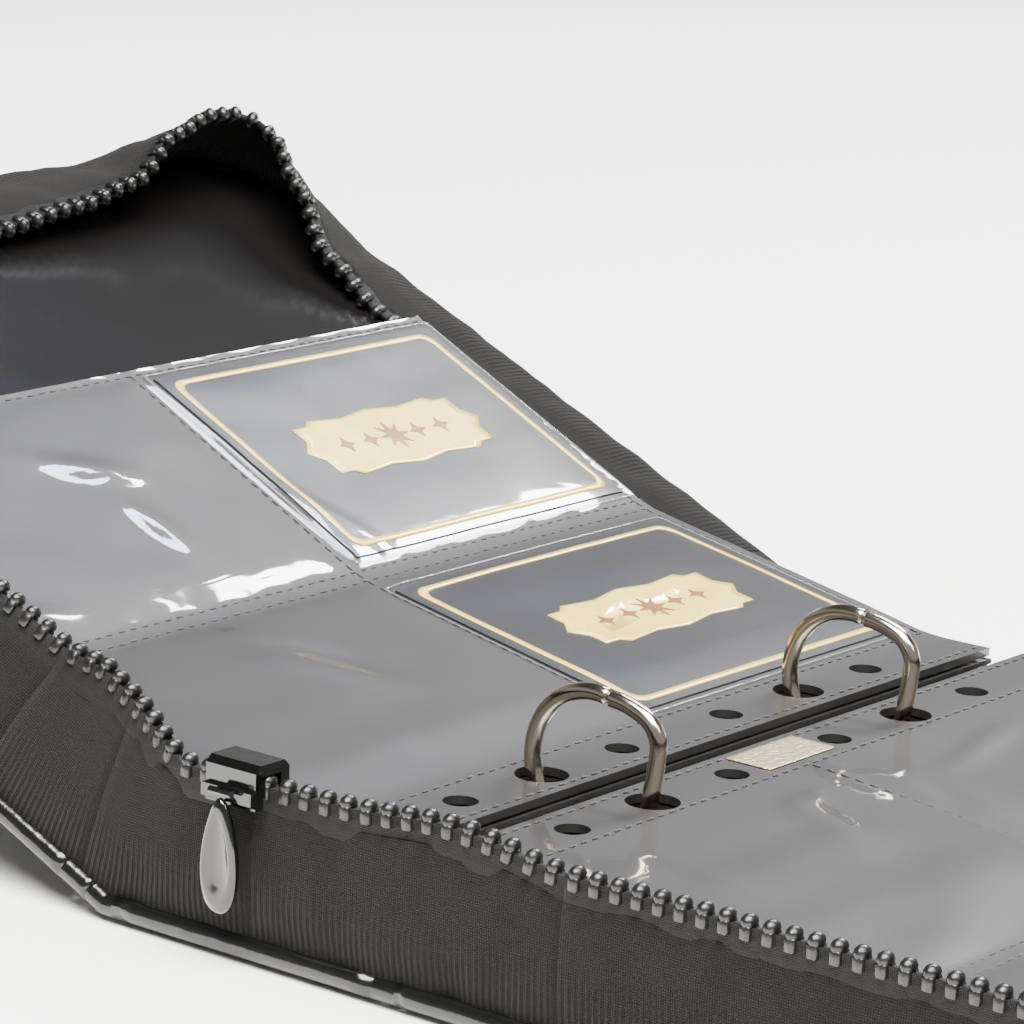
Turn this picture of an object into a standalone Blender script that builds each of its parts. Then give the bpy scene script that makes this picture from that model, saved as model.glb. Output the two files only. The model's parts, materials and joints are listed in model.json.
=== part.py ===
"""A zip-around ring binder for trading cards, lying open: two covers and a spine, fabric walls with a
zip chain along them, a two-ring mechanism riveted to the spine, and pocket pages on both sides.

X runs across the open binder, towards the back cover. Y runs along the spine. Z is up, and the spine and
the back cover lie on z = 0. The origin is under the middle of the rings, on the spine's underside."""

import math

import bmesh
import bpy
from mathutils import Matrix, Vector

MM = 0.001
GAP = 0.3 * MM  # between pieces that touch

# covers and spine
COVER_WIDTH = 208 * MM  # from a cover's hinge line on the spine to its outer edge
COVER_LENGTH = 238 * MM  # along the spine
SPINE_WIDTH = 63 * MM  # between the two hinge lines
BACK_HINGE_X = 18.5 * MM
COVER_TILT = 24.0  # degrees, the front cover above the table
CORNER_RADIUS = 24 * MM
SHELL_THICK = 2.4 * MM
LINING_THICK = 1.8 * MM
PIPING_RADIUS = 2.2 * MM
HINGE_Z = 2.2 * MM  # hinge lines above the table
HINGE_SET_BACK = 2.5 * MM  # from a hinge line to the boards beside it
LINING_SET_BACK = 3.4 * MM
HINGE_BEAD_RADIUS = 1.6 * MM
STRIP_WIDTH = 8 * MM  # the front cover's flexible hinge strip, between its two bends
STRIP_THICK = 1.8 * MM
STRIP_CLEAR = 2 * MM  # from the strip's sides to its two hinge lines
LINING_STEP = 1.5 * MM  # how much further in the lining's edge is than the board's

# fabric walls and zip
WALL_THICK = 1.6 * MM
BACK_WALL_HEIGHT = 22.3 * MM
FRONT_WALL_HEIGHT = 21.5 * MM
CHAIN_THICK = 3.3 * MM
CHAIN_HEIGHT = 4.6 * MM
CHAIN_GAP = 0.7 * MM  # between a wall and the chain on it
GUSSET_REACH = 35 * MM  # how far a spine-end gusset runs past each hinge line
NEAR_GUSSET_TOP = 32.6 * MM  # top of the teeth above the table
NEAR_GUSSET_RISE = 10.0 * MM  # how much higher the teeth stand over the front cover
FAR_GUSSET_SPAN = 21.5 * MM
FAR_GUSSET_TUCK = 8 * MM  # how much of the far gusset is folded away at its middle
LEAN_CLEAR = 0.8 * MM  # lifts a leaning wall's lower corner off the piping
FAR_GUSSET_LEAN = ((0.0, 0), (0.2, 22), (0.44, 66), (0.60, 70), (0.8, 34), (1.0, 20))
FRONT_LEAN = ((0.0, 4), (0.28, 6), (0.42, 44), (0.60, 44), (0.69, 14), (0.78, 24), (1.0, 20))
SLIDER_X = -13.5 * MM
SLIDER_LENGTH = 11 * MM
SLIDER_WALL = 2.0 * MM
SLIDER_CLEAR = 0.5 * MM
LUG_REACH = 1.2 * MM
LUG_HEIGHT = 3.2 * MM
LUG_LEDGE = 1 * MM  # from the slider's foot to the lug's underside
ROOF_CHAMFER = 1.2 * MM
PULL_LENGTH = 20 * MM
PULL_SHOULDER = 7 * MM  # from the pull's top to its full width
PULL_NECK = 0.6  # of its full width
PULL_WIDTH = 8 * MM
PULL_THICK = 1.8 * MM
PULL_PIN_RADIUS = 0.7 * MM

# ring mechanism, on the spine
RING_SPACING = 80 * MM
RING_X = 0 * MM  # the middle of a ring's round side
RING_RADIUS = 13.6 * MM  # to the middle of the wire
RING_LIFT = 2.37 * MM  # from the blades to the middle of a ring's cut end
WIRE_RADIUS = 1.6 * MM
RING_SPLIT = 77  # degrees round from +X
RING_FOOT = 238  # degrees round from +X
PLATE_X = 0 * MM
PLATE_WIDTH = 2 * RING_RADIUS - 2.2 * MM
PLATE_LENGTH = COVER_LENGTH - 70 * MM
PLATE_SHEET = 0.9 * MM
PLATE_TOP = 9.4 * MM
PLATE_SHOULDER = 3 * MM
PLATE_CHAMFER = 1.6 * MM
SLOT_DEPTH = 3.0 * MM  # below the plate's top
SLOT_SIDE = 0.7 * MM  # from the wire to each side of its slot
SLOT_END = (0.9 * MM, 1.9 * MM)  # from the wire's cut end to its slot's end, left and right
BLADE_TOP = 6.3 * MM
BLADE_THICK = 0.8 * MM
BLADE_LENGTH = PLATE_LENGTH - 32 * MM
BLADE_GAP = 1.2 * MM  # between the two blades
BLADE_SIDE = 0.9 * MM  # from a blade to the plate's wall
BLADE_AXIS = 2 * MM  # from the plate's side to the line that a blade turns about
RIVET_SPACING = PLATE_LENGTH - 18 * MM
RIVET_SHANK = 1.5 * MM
RIVET_HEAD = 2.6 * MM
LEVER_WIDTH = 13 * MM
LEVER_REACH = 13 * MM

# pocket pages
PAGE_LENGTH = COVER_LENGTH - 48 * MM
STRIP_EDGE = 8.5 * MM  # from the hole row to the page's inner edge
ROW_ONE = 80.4 * MM  # from the hole row to the fold between the two rows of pockets
ROW_TWO = 72 * MM  # from the fold to the outer edge
FLAT_STRIP = 6 * MM
LEFT_SHIFTS = (0.0 * MM, 0.0 * MM, 0.6 * MM, 1.2 * MM)  # how far each sheet lies from its hole row
RIGHT_SHIFTS = (1.0 * MM, 0.8 * MM, 0.2 * MM, -0.5 * MM)
FOLD_LIFT = 6.95 * MM  # from the front cover's hinge plane up to the fold of the left pages
OUTER_ROW_LIFT = 2.0  # degrees, how much steeper than the cover the left pages' outer row lies
RIGHT_REST = 0.64 * MM  # from the right stack's flat outer row down to the back cover's lining
RING_HOLE = 5.1 * MM  # radii
SMALL_HOLE = 3.2 * MM
SMALL_HOLE_Y = (16.25 * MM, 63 * MM)
FILM_THICK = 0.3 * MM
BACKING_THICK = 0.6 * MM
CARD_THICK = 0.4 * MM
CARD_SIZE = (66 * MM, 91 * MM)  # sleeved, across and along the spine
# each card's middle out from the hole row, and its far end's distance from the page's
CARD_SPOTS = (("inner_card", 41.4 * MM, 2.9 * MM), ("outer_card", 116.6 * MM, 0.0 * MM))
CARD_GAP = 0.25 * MM
SHEET_THICK = 1.2 * MM
SHEET_GAP = 0.4 * MM

LINING_Z = SHELL_THICK + GAP
INNER_FACE = LINING_Z + LINING_THICK
SHELL_INSET = 2 * PIPING_RADIUS + GAP
LINING_INSET = SHELL_INSET + LINING_STEP
WALL_Y = COVER_LENGTH / 2 - PIPING_RADIUS  # the middle of the piping, and of the walls over it
WALL_FOOT = 2 * PIPING_RADIUS + GAP
SPINE_HINGE_X = BACK_HINGE_X - SPINE_WIDTH
FRONT_WIDTH = COVER_WIDTH - STRIP_WIDTH
GUSSET_RAKE_END = SPINE_HINGE_X + 16.5 * MM  # where the gussets over the front cover come upright
RING_Z = BLADE_TOP + RING_LIFT - RING_RADIUS * math.sin(math.radians(RING_FOOT))
POST_SHOULDER = (RING_X + RING_RADIUS - 5.0 * MM, RING_Z + RING_RADIUS - 1.4 * MM)  # x and z
POST_TOP = (RING_X + RING_RADIUS + 0.5 * MM, RING_Z + RING_RADIUS / 2)
POST_FOOT = (RING_X + RING_RADIUS - 1.1 * MM, RING_Z - 5.7 * MM)
POST_END = (RING_X + RING_RADIUS - 4.0 * MM, BLADE_TOP + 1.9 * MM)
LEFT_HOLE_X = RING_X - RING_RADIUS + 2.2 * MM
LEFT_TOP_Z = RING_Z - 4.0 * MM
RIGHT_HOLE_X = RING_X + RING_RADIUS - 1.2 * MM
RIGHT_TOP_Z = RING_Z - 3.6 * MM
LEFT_TURN = (RING_X, RING_Z)  # x and z that the pages turn round
RIGHT_TURN = (RING_X + 1.5 * MM, RING_Z)
PAGE_STACK = FILM_THICK + 2 * CARD_GAP + CARD_THICK + BACKING_THICK


# ---------------------------------------------------------------- tools


def clear_scene():
    for obj in list(bpy.data.objects):
        bpy.data.objects.remove(obj)


def material(name, colour, roughness, metallic=0.0):
    made = bpy.data.materials.new(name)
    made.use_nodes = True
    shader = made.node_tree.nodes["Principled BSDF"]
    shader.inputs["Base Color"].default_value = (*colour, 1.0)
    shader.inputs["Roughness"].default_value = roughness
    shader.inputs["Metallic"].default_value = metallic
    return made


def joint_empty(name, x, z, tilt=0.0, parent=None, y=0.0):
    """An empty on a joint's axis. What moves on the joint is its child."""
    made = bpy.data.objects.new(name, None)
    bpy.context.scene.collection.objects.link(made)
    made.parent = parent
    made.location = (x, y, z)
    made.rotation_euler = (0.0, math.radians(tilt), 0.0)
    return made


def link_mesh(name, work, parent=None):
    """Puts a bmesh, with its faces turned outwards, in the scene."""
    bmesh.ops.recalc_face_normals(work, faces=work.faces)
    mesh = bpy.data.meshes.new(name)
    work.to_mesh(mesh)
    work.free()
    made = bpy.data.objects.new(name, mesh)
    bpy.context.scene.collection.objects.link(made)
    made.parent = parent
    return made


def finish(name, work, finish_material, parent=None):
    made = link_mesh(name, work, parent)
    made.data.materials.append(finish_material)
    return made


def seen_from(axis, points):
    """World x and z points, measured from an empty that isn't turned."""
    return [(x - axis.location.x, z - axis.location.z) for x, z in points]


def skin(work, rings):
    """Faces between rings of vertices, and over the first and the last one."""
    sides = len(rings[0])
    for a, b in zip(rings, rings[1:]):
        for k in range(sides):
            work.faces.new((a[k], a[(k + 1) % sides], b[(k + 1) % sides], b[k]))
    work.faces.new(rings[0])
    work.faces.new(list(reversed(rings[-1])))


def prism(name, outline, low, high, finish_material, parent=None, along="y"):
    """An outline pushed from low to high.

    It holds x and z points along y, x and y ones along z, and y and z ones along x."""
    place = {
        "y": lambda a, b, c: (a, c, b),
        "z": lambda a, b, c: (a, b, c),
        "x": lambda a, b, c: (c, a, b),
    }[along]
    work = bmesh.new()
    skin(work, [[work.verts.new(place(a, b, c)) for a, b in outline] for c in (low, high)])
    return finish(name, work, finish_material, parent)


def arc(cx, cy, radius, start, end, steps):
    """Points round a centre, angles in degrees."""
    turns = [math.radians(start + (end - start) * i / steps) for i in range(steps + 1)]
    return [(cx + radius * math.cos(t), cy + radius * math.sin(t)) for t in turns]


def u_path(start, outer, half, radius, steps=5, runs=5):
    """Three sides of a cover from one hinge end to the other, with round outer corners."""
    first = [(start + (outer - radius - start) * i / runs, -half) for i in range(runs)]
    middle = [(outer, -half + radius + 2 * (half - radius) * i / runs) for i in range(1, runs)]
    near_corner = arc(outer - radius, -half + radius, radius, -90, 0, steps)
    far_corner = arc(outer - radius, half - radius, radius, 0, 90, steps)
    return first + near_corner + middle + far_corner + [(x, half) for x, _ in reversed(first)]


def slab(name, start, outer, half, radius, low, high, side, finish_material, parent=None):
    """A cover board. side is 1 where it runs to +x, and -1 where it runs to -x."""
    path = [(start, -half), *arc(outer - radius, -half + radius, radius, -90, 0, 6)]
    path += [*arc(outer - radius, half - radius, radius, 0, 90, 6), (start, half)]
    return prism(name, [(side * x, y) for x, y in path], low, high, finish_material, parent, along="z")


def lean_at(table, share):
    """The lean in degrees at a share of a wall's length, eased between the table's entries."""
    for (a, low), (b, high) in zip(table, table[1:]):
        if share <= b:
            part = (share - a) / (b - a)
            return low + (high - low) * part * part * (3 - 2 * part)
    return table[-1][1]


def wall(name, path, side, thick, low, high, leans, finish_material, parent=None, rakes=None):
    """A standing band over a path of x, y and foot z, which leans inwards.

    low and high are measured up its slope: each is one length, or one for each point.
    rakes are turns about Y."""
    feet = [Vector(p) for p in path]
    lengths = [0.0]
    for a, b in zip(feet, feet[1:]):
        lengths.append(lengths[-1] + (b.xy - a.xy).length)
    lows, highs = ([h] * len(feet) if isinstance(h, float) else h for h in (low, high))
    work = bmesh.new()
    rings = []
    for i, foot in enumerate(feet):
        step = feet[min(i + 1, len(feet) - 1)] - feet[max(i - 1, 0)]
        inward = Vector((-step.y, step.x, 0)).normalized()
        lean = math.radians(lean_at(leans, lengths[i] / lengths[-1]))
        rise = Vector((0, 0, math.cos(lean))) + inward * math.sin(lean)
        across = inward * math.cos(lean) - Vector((0, 0, math.sin(lean)))
        if rakes:
            turn = Matrix.Rotation(rakes[i], 3, "Y")
            rise, across = turn @ rise, turn @ across
        corners = [(lows[i], -0.5), (lows[i], 0.5), (highs[i], 0.5), (highs[i], -0.5)]
        ring = [foot + rise * h + across * (thick * w) for h, w in corners]
        rings.append([work.verts.new((side * v.x, v.y, v.z)) for v in ring])
    skin(work, rings)
    return finish(name, work, finish_material, parent)


def tube(name, path, radius, sides, finish_material, parent=None):
    """A round bar through points, with flat ends."""
    points = [Vector(p) for p in path]
    work = bmesh.new()
    rings = []
    upright = abs((points[1] - points[0]).normalized().z) > 0.9
    normal = Vector((0, 1, 0)) if upright else Vector((0, 0, 1))
    for i, point in enumerate(points):
        along = (points[min(i + 1, len(points) - 1)] - points[max(i - 1, 0)]).normalized()
        normal = (normal - along * normal.dot(along)).normalized()
        other = along.cross(normal)
        turns = [2 * math.pi * k / sides for k in range(sides)]
        spokes = [normal * math.cos(t) + other * math.sin(t) for t in turns]
        rings.append([work.verts.new(point + spoke * radius) for spoke in spokes])
    skin(work, rings)
    made = finish(name, work, finish_material, parent)
    made.data.shade_smooth()
    made.data.set_sharp_from_angle(angle=math.radians(50))
    return made


def cutter(name, shapes, parent=None):
    """One hidden mesh of upright prisms, each a list of x and y points and its lowest and highest z."""
    work = bmesh.new()
    for outline, low, high in shapes:
        skin(work, [[work.verts.new((x, y, z)) for x, y in outline] for z in (low, high)])
    made = link_mesh(name, work, parent)
    made.hide_render = True
    made.display_type = "WIRE"
    return made


def disc(x, y, radius, sides=14):
    return arc(x, y, radius, 0, 360, sides)[:-1]


def rectangle(x0, x1, y0, y1):
    return [(x0, y0), (x1, y0), (x1, y1), (x0, y1)]


def cut(obj, tool):
    modifier = obj.modifiers.new("holes", "BOOLEAN")
    modifier.operation = "DIFFERENCE"
    modifier.solver = "EXACT"
    modifier.object = tool


# ---------------------------------------------------------------- covers and spine


def cover_boards(name, finishes, start, lining_start, outer, base, side, parent=None):
    """A cover's outer board and the lining on it, from its hinge side to its outer edge."""
    half = COVER_LENGTH / 2
    slab(f"{name}_shell", start, outer - SHELL_INSET, half - SHELL_INSET, CORNER_RADIUS - SHELL_INSET,
         base, base + SHELL_THICK, side, finishes["shell"], parent)
    slab(f"{name}_lining", lining_start, outer - LINING_INSET, half - LINING_INSET,
         CORNER_RADIUS - LINING_INSET, base + LINING_Z, base + INNER_FACE, side, finishes["lining"], parent)


def edge_path(start, outer, base, runs=5):
    path = u_path(start, outer - PIPING_RADIUS, WALL_Y, CORNER_RADIUS - PIPING_RADIUS, runs=runs)
    return [(x, y, base) for x, y in path]


def cover_walls(name, finishes, path, side, height, leans, parent=None):
    chain_low = height + (CHAIN_GAP if leans is FRONT_LEAN else GAP)
    wall(f"{name}_wall", path, side, WALL_THICK, 0.0, height, leans, finishes["fabric"], parent)
    wall(f"{name}_zip_chain", path, side, CHAIN_THICK, chain_low, chain_low + CHAIN_HEIGHT, leans,
         finishes["zip"], parent)


def make_back_cover(finishes):
    outer = BACK_HINGE_X + COVER_WIDTH
    start = BACK_HINGE_X + HINGE_SET_BACK
    cover_boards("back_cover", finishes, start, BACK_HINGE_X + LINING_SET_BACK, outer, 0.0, 1)
    tube("back_cover_piping", edge_path(start, outer, PIPING_RADIUS), PIPING_RADIUS, 8, finishes["piping"])
    upright = ((0.0, 0), (1.0, 0))
    path = edge_path(BACK_HINGE_X + GUSSET_REACH, outer, WALL_FOOT)
    cover_walls("back", finishes, path, 1, BACK_WALL_HEIGHT, upright)


def make_front_cover(finishes, strip_axis, cover_axis):
    """Built flat from its hinge lines, and turned up by the empties that carry it."""
    half = COVER_LENGTH / 2 - SHELL_INSET
    strip = rectangle(STRIP_CLEAR - STRIP_WIDTH, -STRIP_CLEAR, -half, half)
    prism("front_hinge_strip", strip, -STRIP_THICK / 2, STRIP_THICK / 2, finishes["hinge"], strip_axis,
          along="z")
    tube("front_hinge_bead", [(-STRIP_WIDTH, -half, 0), (-STRIP_WIDTH, half, 0)], HINGE_BEAD_RADIUS, 8,
         finishes["hinge"], strip_axis)
    base = -HINGE_Z
    cover_boards("front_cover", finishes, HINGE_SET_BACK, LINING_SET_BACK, FRONT_WIDTH, base, -1, cover_axis)
    rim = [(-x, y, z) for x, y, z in edge_path(HINGE_SET_BACK, FRONT_WIDTH, 0.0)]
    tube("front_cover_piping", rim, PIPING_RADIUS, 8, finishes["piping"], cover_axis)
    foot = base + WALL_FOOT + LEAN_CLEAR
    path = edge_path(GUSSET_REACH - STRIP_WIDTH, FRONT_WIDTH, foot, runs=7)
    cover_walls("front", finishes, path, -1, FRONT_WALL_HEIGHT, FRONT_LEAN, cover_axis)


def make_spine(finishes):
    half = COVER_LENGTH / 2 - SHELL_INSET
    low, high = SPINE_HINGE_X + HINGE_SET_BACK, BACK_HINGE_X - HINGE_SET_BACK
    prism("spine_shell", rectangle(low, high, -half, half), 0.0, SHELL_THICK, finishes["shell"], along="z")
    inner = rectangle(SPINE_HINGE_X + LINING_SET_BACK, BACK_HINGE_X - LINING_SET_BACK, -half, half)
    prism("spine_lining", inner, LINING_Z, INNER_FACE, finishes["lining"], along="z")
    for name, x in (("back_hinge_bead", BACK_HINGE_X), ("spine_hinge_bead", SPINE_HINGE_X)):
        tube(name, [(x, -half, HINGE_Z), (x, half, HINGE_Z)], HINGE_BEAD_RADIUS, 8, finishes["hinge"])
    for end, y in (("near", -WALL_Y), ("far", WALL_Y)):
        path = [(low, y, PIPING_RADIUS), (high, y, PIPING_RADIUS)]
        tube(f"spine_piping_{end}", path, PIPING_RADIUS, 8, finishes["piping"])


def gusset_foot(x):
    """The height that a gusset stands on: flat over the spine and the back cover, and up the front cover."""
    rise = max(0.0, SPINE_HINGE_X - x)
    return WALL_FOOT + GAP + rise * math.tan(math.radians(COVER_TILT))


def gusset_rake(x, start):
    share = min(max((GUSSET_RAKE_END - x) / (GUSSET_RAKE_END - start), 0.0), 1.0)
    return math.radians(COVER_TILT) * share


def make_gussets(finishes):
    """The fabric walls across the spine's two ends. They fold when a cover is shut."""
    tilt = math.radians(COVER_TILT)
    start = SPINE_HINGE_X - (GUSSET_REACH - 2 * GAP) * math.cos(tilt) + WALL_FOOT * math.sin(tilt)
    end = BACK_HINGE_X + GUSSET_REACH - 2 * GAP
    steps = 16
    line = sorted([start + (end - start) * i / steps for i in range(steps + 1)] + [SPINE_HINGE_X])
    rakes = [gusset_rake(x, start) for x in line]
    near = [(x, -WALL_Y, gusset_foot(x)) for x in line]
    slope = (GUSSET_RAKE_END - start) / NEAR_GUSSET_RISE
    tops = [NEAR_GUSSET_TOP + max(0.0, GUSSET_RAKE_END - x) / slope - z - CHAIN_HEIGHT for x, _, z in near]
    walls = [h - CHAIN_GAP for h in tops]
    chains = [h + CHAIN_HEIGHT for h in tops]
    upright = ((0.0, 0), (1.0, 0))
    wall("near_gusset", near, 1, WALL_THICK, 0.0, walls, upright, finishes["fabric"], rakes=rakes)
    wall("near_gusset_zip", near, 1, CHAIN_THICK, tops, chains, upright, finishes["zip"], rakes=rakes)
    far = [(x, WALL_Y, gusset_foot(x) + LEAN_CLEAR) for x in reversed(line)]
    rakes.reverse()
    tucks = [math.sin(math.pi * (end - x) / (end - start)) for x, _, _ in far]
    walls = [FAR_GUSSET_SPAN - FAR_GUSSET_TUCK * share for share in tucks]
    tops = [h + 2 * CHAIN_GAP for h in walls]
    chains = [h + CHAIN_HEIGHT for h in tops]
    wall("far_gusset", far, 1, WALL_THICK, 0.0, walls, FAR_GUSSET_LEAN, finishes["fabric"], rakes=rakes)
    wall("far_gusset_zip", far, 1, CHAIN_THICK, tops, chains, FAR_GUSSET_LEAN, finishes["zip"], rakes=rakes)


def make_zip(finishes, slider_axis, pull_axis):
    """The slider straddles the near gusset's chain, and its pull hangs outside the wall."""
    inner = CHAIN_THICK / 2 + SLIDER_CLEAR
    outer = inner + SLIDER_WALL
    bottom, top = -CHAIN_HEIGHT / 2 - 0.5 * MM, CHAIN_HEIGHT / 2 + SLIDER_CLEAR
    roof, chamfer = top + SLIDER_WALL, ROOF_CHAMFER
    lug = -outer - LUG_REACH
    saddle = [(-outer, bottom), (-inner, bottom), (-inner, top), (inner, top), (inner, bottom),
              (outer, bottom), (outer, roof - chamfer), (outer - chamfer, roof), (chamfer - outer, roof),
              (-outer, roof - chamfer), (-outer, bottom + LUG_HEIGHT), (lug, bottom + LUG_HEIGHT),
              (lug, bottom + LUG_LEDGE), (-outer, bottom + 0.4 * LUG_LEDGE)]
    prism("zip_slider", saddle, -SLIDER_LENGTH / 2, SLIDER_LENGTH / 2, finishes["pull"], slider_axis,
          along="x")
    half = PULL_WIDTH / 2
    neck, flare = half * PULL_NECK, 2 * MM - PULL_SHOULDER
    outline = [(-neck, 0.0), (neck, 0.0), (neck, flare), (half, -PULL_SHOULDER)]
    outline += arc(0.0, half - PULL_LENGTH, half, 0, -180, 8) + [(-half, -PULL_SHOULDER), (-neck, flare)]
    low = -PULL_PIN_RADIUS - GAP
    outline = [(x, z + low) for x, z in outline]
    prism("zip_pull_tab", outline, -PULL_THICK / 2, PULL_THICK / 2, finishes["pull"], pull_axis)
    pin = [(-neck, 0.0, 0.0), (neck, 0.0, 0.0)]
    tube("zip_pull_pin", pin, PULL_PIN_RADIUS, 8, finishes["pull"], pull_axis)


# ---------------------------------------------------------------- ring mechanism


def make_ring_plate(finishes):
    left, right = PLATE_X - PLATE_WIDTH / 2, PLATE_X + PLATE_WIDTH / 2
    foot, top, sheet, step = INNER_FACE + GAP, PLATE_TOP, PLATE_SHEET, PLATE_SHOULDER
    shoulder = top - PLATE_CHAMFER
    outline = [(left, foot), (left, shoulder), (left + step, top), (right - step, top), (right, shoulder),
               (right, foot), (right - sheet, foot), (right - sheet, shoulder - sheet / 2),
               (right - step, top - sheet), (left + step, top - sheet), (left + sheet, shoulder - sheet / 2),
               (left + sheet, foot)]
    plate = prism("ring_base_plate", outline, -PLATE_LENGTH / 2, PLATE_LENGTH / 2, finishes["steel"])
    shapes = []
    half_slot = WIRE_RADIUS + SLOT_SIDE
    past = 1 * MM  # how far a cut runs out of what it cuts
    low, high = top - SLOT_DEPTH, top + past
    left_end = RING_X + RING_RADIUS * math.cos(math.radians(RING_FOOT)) + WIRE_RADIUS + SLOT_END[0]
    right_end = POST_END[0] - WIRE_RADIUS - SLOT_END[1]
    for y in (-RING_SPACING / 2, RING_SPACING / 2):
        for x0, x1 in ((left - past, left_end), (right_end, right + past)):
            shapes.append((rectangle(x0, x1, y - half_slot, y + half_slot), low, high))
    for end, y in (("near", -RIVET_SPACING / 2), ("far", RIVET_SPACING / 2)):
        shapes.append((disc(PLATE_X, y, RIVET_SHANK + GAP), top - sheet - past, high))
        make_rivet(end, y, finishes)
    cut(plate, cutter("plate_cutter", shapes))


def make_rivet(end, y, finishes):
    """A turned rivet: its shank stands on the spine's lining, and its domed head is over the plate."""
    top = PLATE_TOP + GAP
    profile = [(RIVET_SHANK, INNER_FACE + GAP), (RIVET_SHANK, top), (RIVET_HEAD, top),
               (RIVET_HEAD * 0.8, top + 0.7 * MM), (RIVET_HEAD * 0.3, top + 1.0 * MM)]
    work = bmesh.new()
    skin(work, [[work.verts.new((*p, z)) for p in disc(PLATE_X, y, r, 12)] for r, z in profile])
    made = finish(f"ring_rivet_{end}", work, finishes["steel"])
    made.data.shade_smooth()
    made.data.set_sharp_from_angle(angle=math.radians(40))


def make_ring_halves(finishes, left_axis, right_axis):
    left, right = PLATE_X - PLATE_WIDTH / 2, PLATE_X + PLATE_WIDTH / 2
    clear = PLATE_SHEET + BLADE_SIDE
    low = BLADE_TOP - BLADE_THICK
    blades = (
        ("ring_blade_left", left + clear, PLATE_X - BLADE_GAP / 2, left_axis),
        ("ring_blade_right", PLATE_X + BLADE_GAP / 2, right - clear, right_axis),
    )
    for name, x0, x1, axis in blades:
        outline = seen_from(axis, [(x0, low), (x1, low), (x1, BLADE_TOP), (x0, BLADE_TOP)])
        prism(name, outline, -BLADE_LENGTH / 2, BLADE_LENGTH / 2, finishes["steel"], axis)
    round_side = arc(RING_X, RING_Z, RING_RADIUS, RING_SPLIT, RING_FOOT, 20)
    split_x, split_z = round_side[0]
    (sx, sz), (px, pz) = POST_SHOULDER, POST_TOP
    shares = (0.2, 0.4, 0.6, 0.8, 1.0)
    corner = [(sx + (px - sx) * (1 - (1 - t) ** 2), sz + (pz - sz) * t * t) for t in shares]
    post = [(split_x + GAP, split_z - 0.07 * MM), (sx, sz), *corner, POST_FOOT, POST_END]
    for end, y in (("near", -RING_SPACING / 2), ("far", RING_SPACING / 2)):
        for name, points, axis in (("left", round_side, left_axis), ("right", post, right_axis)):
            path = [(x, y, z) for x, z in seen_from(axis, points)]
            tube(f"ring_{end}_{name}_half", path, WIRE_RADIUS, 10, finishes["nickel"], axis)


def make_levers(finishes, axes):
    """A finger lever at each end of the plate, above the spine's lining."""
    low, high = BLADE_TOP - BLADE_THICK, PLATE_TOP - 0.4 * MM
    for end, axis in axes.items():
        sign = -1 if end == "near" else 1
        outline = [(0.6 * MM, low), (2.0 * MM, low), (LEVER_REACH, low + 1.8 * MM), (LEVER_REACH, high),
                   (LEVER_REACH - 1.4 * MM, high), (0.6 * MM, low + 1.2 * MM)]
        outline = [(sign * y, z - axis.location.z) for y, z in outline]
        prism(f"ring_lever_{end}", outline, -LEVER_WIDTH / 2, LEVER_WIDTH / 2, finishes["lever"], axis,
              along="x")


# ---------------------------------------------------------------- pages


def page_line(side, hole_x, top, tilts, start, end):
    """A page's line from start to end out from the hole row.

    The strip with the holes lies flat, and each row of pockets has its own slope."""
    knots = [-STRIP_EDGE, FLAT_STRIP, ROW_ONE, ROW_ONE + ROW_TWO]
    line, x, z = [], -STRIP_EDGE, 0.0
    for slope, a, b in zip((0.0, *tilts), knots, knots[1:]):
        turn = math.radians(slope)
        for at in (max(a, start), min(b, end)):
            if a <= at <= b and start <= at <= end:
                out, up = x + (at - a) * math.cos(turn), z + (at - a) * math.sin(turn)
                spot = (hole_x + side * out, top + up)
                if not line or math.dist(spot, line[-1]) > 0.1 * MM:
                    line.append(spot)
        x += (b - a) * math.cos(turn)
        z += (b - a) * math.sin(turn)
    return line


def page_plate(name, page, depth, thick, look, axis, span=None, half=PAGE_LENGTH / 2):
    """One sheet of a page, its top face at a depth below the topmost one's.

    page holds its side, hole x, top z and tilts."""
    start, end = span or (-STRIP_EDGE, ROW_ONE + ROW_TWO)
    line = page_line(*page, start, end)
    outline = [(x, z - depth) for x, z in line] + [(x, z - depth - thick) for x, z in reversed(line)]
    return prism(name, seen_from(axis, outline), -half, half, look, axis)


def punch(sheet, page, axis, depth, thick):
    """Two ring holes, and the small holes between and beside them."""
    x = page[1] - axis.location.x
    z = page[2] - axis.location.z - depth
    shapes = []
    for y, radius in ((RING_SPACING / 2, RING_HOLE), *[(y, SMALL_HOLE) for y in SMALL_HOLE_Y]):
        shapes += [(disc(x, sign * y, radius), z - thick - 1 * MM, z + 1 * MM) for sign in (-1, 1)]
    cut(sheet, cutter(f"cut_{sheet.name}", shapes, axis))


def right_tilts(depth):
    """The slopes of the right pages' two rows, in degrees, for a stack that is this deep."""
    drop = RIGHT_TOP_Z - INNER_FACE - RIGHT_REST - depth
    return (-math.degrees(math.asin(drop / (ROW_ONE - FLAT_STRIP))), 0.0)


def left_tilts():
    """The slopes of the left pages' two rows, in degrees: the fold lies FOLD_LIFT over the front cover."""
    tilt = math.radians(COVER_TILT)
    axis_x = SPINE_HINGE_X - STRIP_WIDTH * math.cos(tilt)
    axis_z = HINGE_Z + STRIP_WIDTH * math.sin(tilt)
    start_x, run = LEFT_HOLE_X - FLAT_STRIP, ROW_ONE - FLAT_STRIP
    start_lift = (LEFT_TOP_Z - axis_z) * math.cos(tilt) - (axis_x - start_x) * math.sin(tilt)
    inner = COVER_TILT + math.degrees(math.asin((FOLD_LIFT - start_lift) / run))
    return (inner, COVER_TILT + OUTER_ROW_LIFT)


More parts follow.
